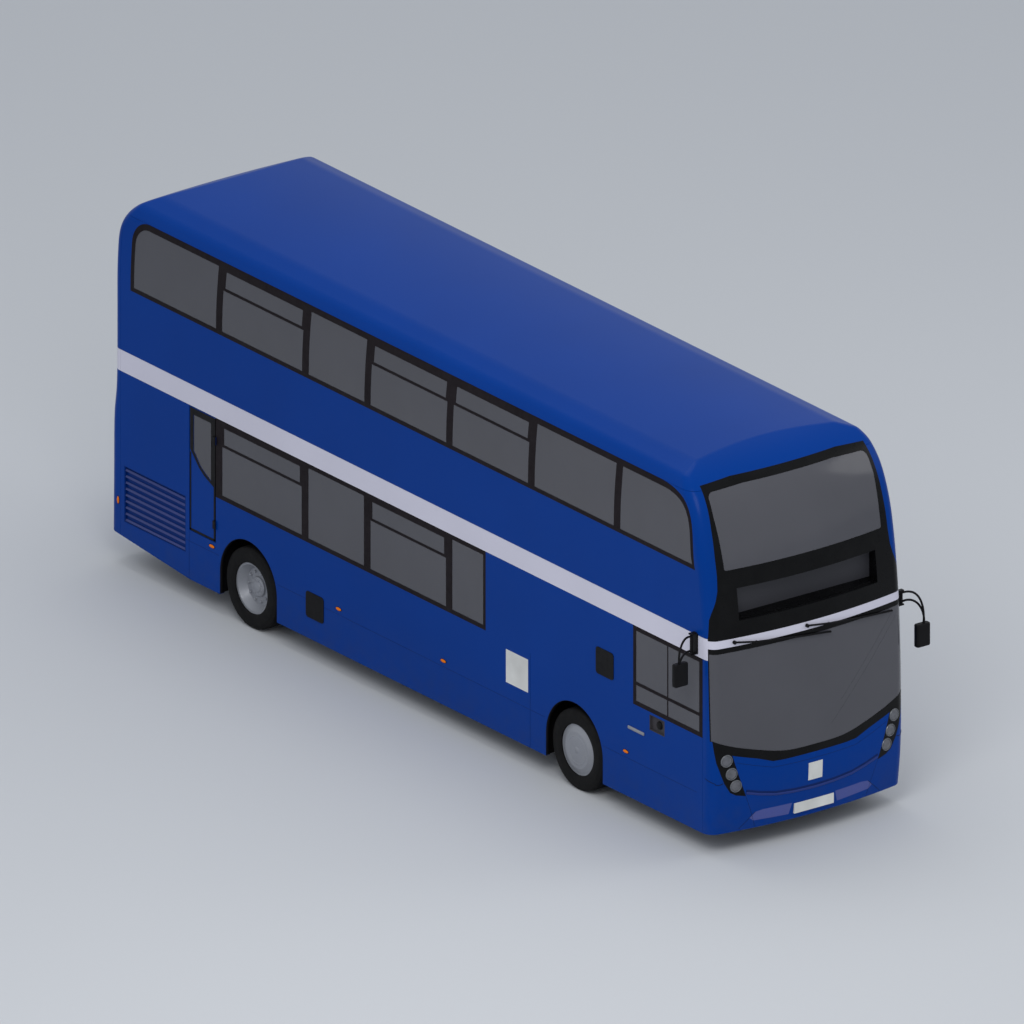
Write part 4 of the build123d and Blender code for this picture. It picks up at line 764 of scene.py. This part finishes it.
def make_tyres():
    """All six tyres stand in for their plain rings."""
    axles = (("front", FRONT_AXLE_Y, (FRONT_WHEEL_X,), "front_tyre_", "front_wheel_"),
             ("rear", REAR_AXLE_Y, REAR_WHEEL_X, "rear_tyres_", "rear_wheels_"))
    for hand, side in (("left", 1), ("right", -1)):
        for place, axle_y, offsets, node, body in axles:
            bm = bmesh.new()
            for x in offsets:
                add_tyre(bm, (side * x, axle_y, WHEEL_Z))
            tyre = new_piece(place + "_treads_" + hand, bm, "tyre", body=body + hand)
            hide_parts(node + hand)


def make_wheel_fittings():
    """Nuts and caps on the rear hubs, and the crease and centre of the front caps."""
    nut = ((0.0, 0.026), (0.010, 0.026), (0.014, 0.022), (0.016, 0.004), (0.021, 0.0))
    bolt = ((0.0, 0.006), (0.006, 0.006), (0.0075, 0.0))
    hub_cap = ((0.0, 0.012), (0.040, 0.011), (0.058, 0.006), (0.062, 0.0))
    crease = ((0.150, 0.0), (0.153, 0.0022), (0.158, 0.0022), (0.161, 0.0))
    button = ((0.0, 0.004), (0.030, 0.004), (0.036, 0.0))
    for hand, side in (("left", 1), ("right", -1)):
        out = (side, 0, 0)
        centre = Vector((side * REAR_WHEEL_X[1], REAR_AXLE_Y, WHEEL_Z))
        hub_end = centre + Vector((side * 0.0515, 0, 0))
        bm = bmesh.new()
        flange = centre + Vector((side * 0.0215, 0, 0))
        circles = ((10, 0.0, 0.165, flange, nut), (8, 0.5, 0.079, hub_end, bolt))
        for count, start, circle_r, base, profile in circles:
            for step in range(count):
                turn = math.tau * (step + start) / count
                spot = base + Vector((0, circle_r * math.cos(turn), circle_r * math.sin(turn)))
                add_lathe(bm, profile, facing(spot, out), 6)
        add_lathe(bm, hub_cap, facing(hub_end, out), 32)
        new_piece("rear_hub_nuts_" + hand, bm, "silver", body="rear_wheels_" + hand)
        bm = bmesh.new()
        spot = Vector((side * (FRONT_WHEEL_X + 0.1358), FRONT_AXLE_Y, WHEEL_Z))
        add_lathe(bm, crease, facing(spot, out), 64)
        add_lathe(bm, button, facing(spot, out), 32)
        new_piece("front_cap_rings_" + hand, bm, "silver", body="front_wheel_" + hand)


# ---- seats ---------------------------------------------------------------------------------------
BACK_LEAN = Matrix.Rotation(math.radians(80), 4, "X")


def soften(bm, name):
    """A coarse pad outline rounded into a pad by subdivision, returned as a mesh."""
    mesh = bpy.data.meshes.new(name)
    bm.to_mesh(mesh)
    bm.free()
    pad = bpy.data.objects.new(name, mesh)
    bpy.context.scene.collection.objects.link(pad)
    rounder = pad.modifiers.new("round", "SUBSURF")
    rounder.levels = rounder.render_levels = 1
    bpy.context.view_layer.update()
    done = bpy.data.meshes.new_from_object(pad.evaluated_get(bpy.context.evaluated_depsgraph_get()))
    bpy.data.objects.remove(pad)
    bpy.data.meshes.remove(mesh)
    return done


def crowned_pad(width, depth, thick, crown, waist):
    """A pad in its own axes: its middle stands proud, its sides pull in between the corners."""
    seam_at, seam_width, seam_depth, bulge = 0.667, 0.12, 0.35, 0.03
    bm = bmesh.new()
    bmesh.ops.create_cube(bm, size=1.0)
    bmesh.ops.subdivide_edges(bm, edges=list(bm.edges), cuts=5, use_grid_fill=True)
    for vert in bm.verts:
        x, y, z = vert.co * 2
        side = 1 - waist * (1 - y * y) if abs(x) > 0.99 else 1.0
        end = 1 - waist * (1 - x * x) if abs(y) > 0.99 else 1.0
        swell = (1 - x ** 4) * (1 - y ** 4)
        seam = math.exp(-((abs(x) - seam_at) / seam_width) ** 2) * seam_depth
        lift = crown * swell * (1 - seam) if z > 0 else -crown * 0.25 * swell
        round_out = 1 + bulge * (1 - z * z)
        vert.co = Vector((x * width / 2 * side * round_out, y * depth / 2 * end * round_out,
                          z * thick / 2 + lift))
    return bm


def add_mesh(bm, mesh, place):
    """A finished mesh laid into a bmesh at a place."""
    start = len(bm.verts)
    bm.from_mesh(mesh)
    bm.verts.ensure_lookup_table()
    bmesh.ops.transform(bm, matrix=place, verts=bm.verts[start:])


def bench_places():
    """Each pair of passenger seats: middle across, row, floor, width."""
    row_pitch, wheel_box_z, rear_step_z = 0.79, 0.83, 1.03
    lower, upper = [], []
    for side in (-1, 1):
        for y in ((-0.9, 0.0, 0.9, 1.8) if side < 0 else (-1.3, -0.45, 0.45, 1.3)):
            lower.append((side * 0.7675, y, LOWER_FLOOR_Z, 0.875))
        lower.append((side * 0.9025, 2.65, wheel_box_z, 0.605))
        lower.append((side * 0.585, 4.75, rear_step_z, 1.13))
        first_y, rows = (-4.0, 11) if side > 0 else (-1.65, 8)
        for row in range(rows):
            upper.append((side * 0.755, first_y + row_pitch * row, UPPER_FLOOR_Z, 0.85))
    upper.append((-0.75, -4.05, UPPER_FLOOR_Z, 0.84))
    return lower, upper


def seat_shell(width):
    """The curved moulded back behind one seat, in the seat's own axes."""
    shell = bmesh.new()
    bmesh.ops.create_grid(shell, x_segments=4, y_segments=6, size=0.5)
    for vert in shell.verts:
        u, v = vert.co.x, vert.co.y
        wrap = (2 * u) ** 2
        vert.co = Vector((u * width, 0.254 + 0.10 * (v + 0.02) - 0.022 * wrap,
                          0.665 + v * 0.56 - 0.03 * wrap * (v > 0)))
    bmesh.ops.solidify(shell, geom=list(shell.faces), thickness=0.012)
    return shell


def make_seats():
    """Passenger seats: crowned cushions and backs, moulded shells, grab handles and pedestals."""
    cushion = soften(crowned_pad(1.0, 0.40, 0.060, 0.012, 0.020), "cushion")
    back = soften(crowned_pad(1.0, 0.50, 0.045, 0.010, 0.018), "back")
    for deck, places in zip(("lower", "upper"), bench_places()):
        pads, shells, rails = bmesh.new(), bmesh.new(), bmesh.new()
        for x, y, floor, width in places:
            half = width / 2
            for seat in (-1, 1):
                middle = x + seat * half / 2
                narrow = Matrix.Diagonal((half - 0.022, 1, 1, 1))
                add_mesh(pads, cushion, Matrix.Translation((middle, y - 0.005, floor + 0.395)) @ narrow)
                behind = Matrix.Translation((middle, y + 0.222, floor + 0.675))
                add_mesh(pads, back, behind @ BACK_LEAN @ narrow)
                shell = seat_shell(half - 0.012)
                bmesh.ops.translate(shell, verts=shell.verts, vec=(middle, y, floor))
                lay_in(shells, shell)
                add_box(shells, (middle - half / 2 + 0.014, y - 0.205, floor + 0.335),
                        (middle + half / 2 - 0.014, y + 0.215, floor + 0.362), 0.008, 2)
            top = floor + 0.945
            bent = [(half - 0.05, 0.285, top - 0.06), (half - 0.07, 0.290, top - 0.01)]
            rail = [(x - across, y + back_y, z) for across, back_y, z in bent]
            rail += [(x + across, y + back_y, z) for across, back_y, z in reversed(bent)]
            add_tube(rails, rail, 0.011, 8)
            if 0.8 < width < 1.0:
                add_box(rails, (x - 0.055, y - 0.14, floor), (x + 0.055, y + 0.14, floor + 0.335), 0.012, 2)
                add_box(rails, (x - 0.16, y - 0.18, floor), (x + 0.16, y + 0.18, floor + 0.014), 0.005, 1)
        soft = new_piece(deck + "_seat_pads", pads, "cloth")
        hard = new_piece(deck + "_seat_shells", shells, "seat_shell")
        bars = new_piece(deck + "_seat_rails", rails, "grab_yellow")
        for piece in (soft, hard, bars):
            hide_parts(deck + "_seats")
    bpy.data.meshes.remove(cushion)
    bpy.data.meshes.remove(back)


def make_driver_seat():
    """The driver's sprung seat: crowned cushion, tall back with a head pad, and its base."""
    pads = bmesh.new()
    cushion = soften(crowned_pad(0.42, 0.40, 0.085, 0.014, 0.025), "driver_cushion")
    back = soften(crowned_pad(0.40, 0.52, 0.075, 0.012, 0.02), "driver_back")
    head = soften(crowned_pad(0.26, 0.15, 0.065, 0.008, 0.02), "driver_head")
    add_mesh(pads, cushion, Matrix.Translation((DRIVER_X, -4.175, 0.812)))
    add_mesh(pads, back, Matrix.Translation((DRIVER_X, -3.985, 1.115)) @ BACK_LEAN)
    add_mesh(pads, head, Matrix.Translation((DRIVER_X, -3.935, 1.455)) @ BACK_LEAN)
    for mesh in (cushion, back, head):
        bpy.data.meshes.remove(mesh)
    soft = new_piece("driver_seat_pads", pads, "cloth")
    hard = bmesh.new()
    parts = [(0.200, -4.375, -3.985, 0.735, 0.768, 0.010), (0.150, -3.925, -3.905, 0.80, 1.38, 0.009),
             (0.090, -4.32, -4.06, 0.345, 0.735, 0.02)]
    for step in range(5):
        z = 0.42 + step * 0.055
        parts.append((0.105, -4.335, -4.045, z, z + 0.022, 0.010))
    for half, y0, y1, z0, z1, bevel in parts:
        add_box(hard, (DRIVER_X - half, y0, z0), (DRIVER_X + half, y1, z1), bevel, 2)
    base = new_piece("driver_seat_base", hard, "seat_shell")
    for piece in (soft, base):
        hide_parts("driver_seat")


# ---- mirrors -------------------------------------------------------------------------------------
def make_mirror_glass():
    """The silvered glass in the back of each mirror head."""
    for hand, x, z in (("offside", -1.530, 2.092), ("nearside", 1.505, 1.894)):
        head = surface_of("mirror_" + hand)

        def behind(a, b, lift=0.0):
            hit, _, _, _ = head.ray_cast(Vector((a, 0.0, b)), Vector((0, -1, 0)))
            return hit + Vector((0, lift, 0))

        bm = bmesh.new()
        add_plate(bm, behind, (x - 0.066, x + 0.066), (z - 0.100, z + 0.100), 0.0015, 4, 6)
        new_piece("mirror_glass_" + hand, bm, "mirror", body="mirror_" + hand, smooth=False)


# ---- doors ---------------------------------------------------------------------------------------
def make_door_trim():
    """The rubber nosings where the entrance leaves meet."""
    for name in ("front", "rear"):
        low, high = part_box("door_leaf_" + name)
        meeting = high if name == "front" else low
        inward = -1 if name == "front" else 1
        bm = bmesh.new()
        y = meeting[1] + inward * 0.016
        skin = surface_of("door_leaf_" + name)
        x = skin.ray_cast(Vector((3.0, y, 1.2)), Vector((-1, 0, 0)))[0].x
        add_box(bm, (x - 0.0005, y - 0.012, low[2] + 0.01), (x + 0.0015, y + 0.012, high[2] - 0.01))
        new_piece("door_nosing_" + name, bm, "rubber", body="door_" + name, smooth=False)


# ---- tail ----------------------------------------------------------------------------------------
def make_tail_details():
    """Bezels and stepped lenses on the tail lamps, and the seal round the rear window."""
    rings = bmesh.new()
    lamp_x, lowest_z, pitch = 1.085, 1.380, 0.166
    lamp_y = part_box("tail_lamps")[1][1]
    finishes = ("red", "amber", "lens", "red")
    domes = {finish: bmesh.new() for finish in finishes}
    profile = ((0.0, 0.0016), (0.012, 0.0016), (0.013, 0.0038), (0.024, 0.0036), (0.025, 0.0014),
               (0.036, 0.0014), (0.037, 0.0034), (0.048, 0.0030), (0.049, 0.0010), (0.0600, 0.0),
               (0.0606, -0.011))
    ring = ((0.0610, -0.020), (0.0610, 0.001), (0.0650, 0.003), (0.0690, 0.001), (0.0700, -0.010))
    for side in (-1, 1):
        for row, finish in enumerate(finishes):
            place = facing((side * lamp_x, lamp_y, lowest_z + pitch * row), (0, 1, 0))
            add_lathe(rings, ring, place, 40)
            add_lathe(domes[finish], profile, place, 40)
    new_piece("tail_lamp_rings", rings, "ring_grey")
    for finish, bm in domes.items():
        new_piece("tail_lenses_" + finish, bm, finish)
    bm = bmesh.new()
    corners = ((-0.889, 3.181), (0.889, 3.181), (0.889, 3.769), (-0.889, 3.769), (-0.889, 3.181))
    flat = along([(x, 0.0, z) for x, z in corners], 0.06)
    add_tube(bm, [on_rear(p.x, p.z, 0.001) for p in flat[:-1]], 0.0085, 8, cyclic=True)
    new_piece("rear_window_seal", bm, "rubber", recalc=False)


make_seams()
make_bumper_crease()
make_pale_plates()
make_side_fittings()
make_exit_trim()
make_lamp_rings()
make_arch_trim()
make_grilles()
make_markers()
make_glass_lines()
make_tyres()
make_wheel_fittings()
make_seats()
make_driver_seat()
make_mirror_glass()
make_door_trim()
make_tail_details()


# ---- studio --------------------------------------------------------------------------------------
FLOOR_REACH = 120.0          # metres from the middle to each edge


def make_studio():
    """A pale floor, a pale surround and soft light from above."""
    bm = bmesh.new()
    bmesh.ops.create_grid(bm, x_segments=1, y_segments=1, size=FLOOR_REACH)
    mesh = bpy.data.meshes.new("floor")
    bm.to_mesh(mesh)
    bm.free()
    floor = bpy.data.objects.new("floor", mesh)
    bpy.context.scene.collection.objects.link(floor)
    f = Finish("studio_floor", rough=0.8)
    f.colour(srgb(205, 207, 210))
    mesh.materials.append(f.material)
    world = bpy.data.worlds.new("studio")
    bpy.context.scene.world = world
    world.use_nodes = True
    background = world.node_tree.nodes["Background"]
    background.inputs["Color"].default_value = (0.80, 0.84, 0.90, 1.0)
    background.inputs["Strength"].default_value = 0.72
    for name, place, aim, size, power in (
        ("key", (-12, -14, 16), (0, 0, 2), 10.0, 1250.0),
        ("fill", (14, -10, 10), (0, -1, 2), 10.0, 300.0),
        ("top", (0, 3, 18), (0, 0, 3), 12.0, 520.0),
    ):
        data = bpy.data.lights.new(name, "AREA")
        data.shape = "DISK"
        data.size = size
        data.energy = power
        lamp = bpy.data.objects.new(name, data)
        lamp.location = place
        lamp.rotation_euler = (Vector(place) - Vector(aim)).to_track_quat("Z", "Y").to_euler()
        bpy.context.scene.collection.objects.link(lamp)


make_studio()
bpy.context.scene.view_settings.view_transform = "Standard"
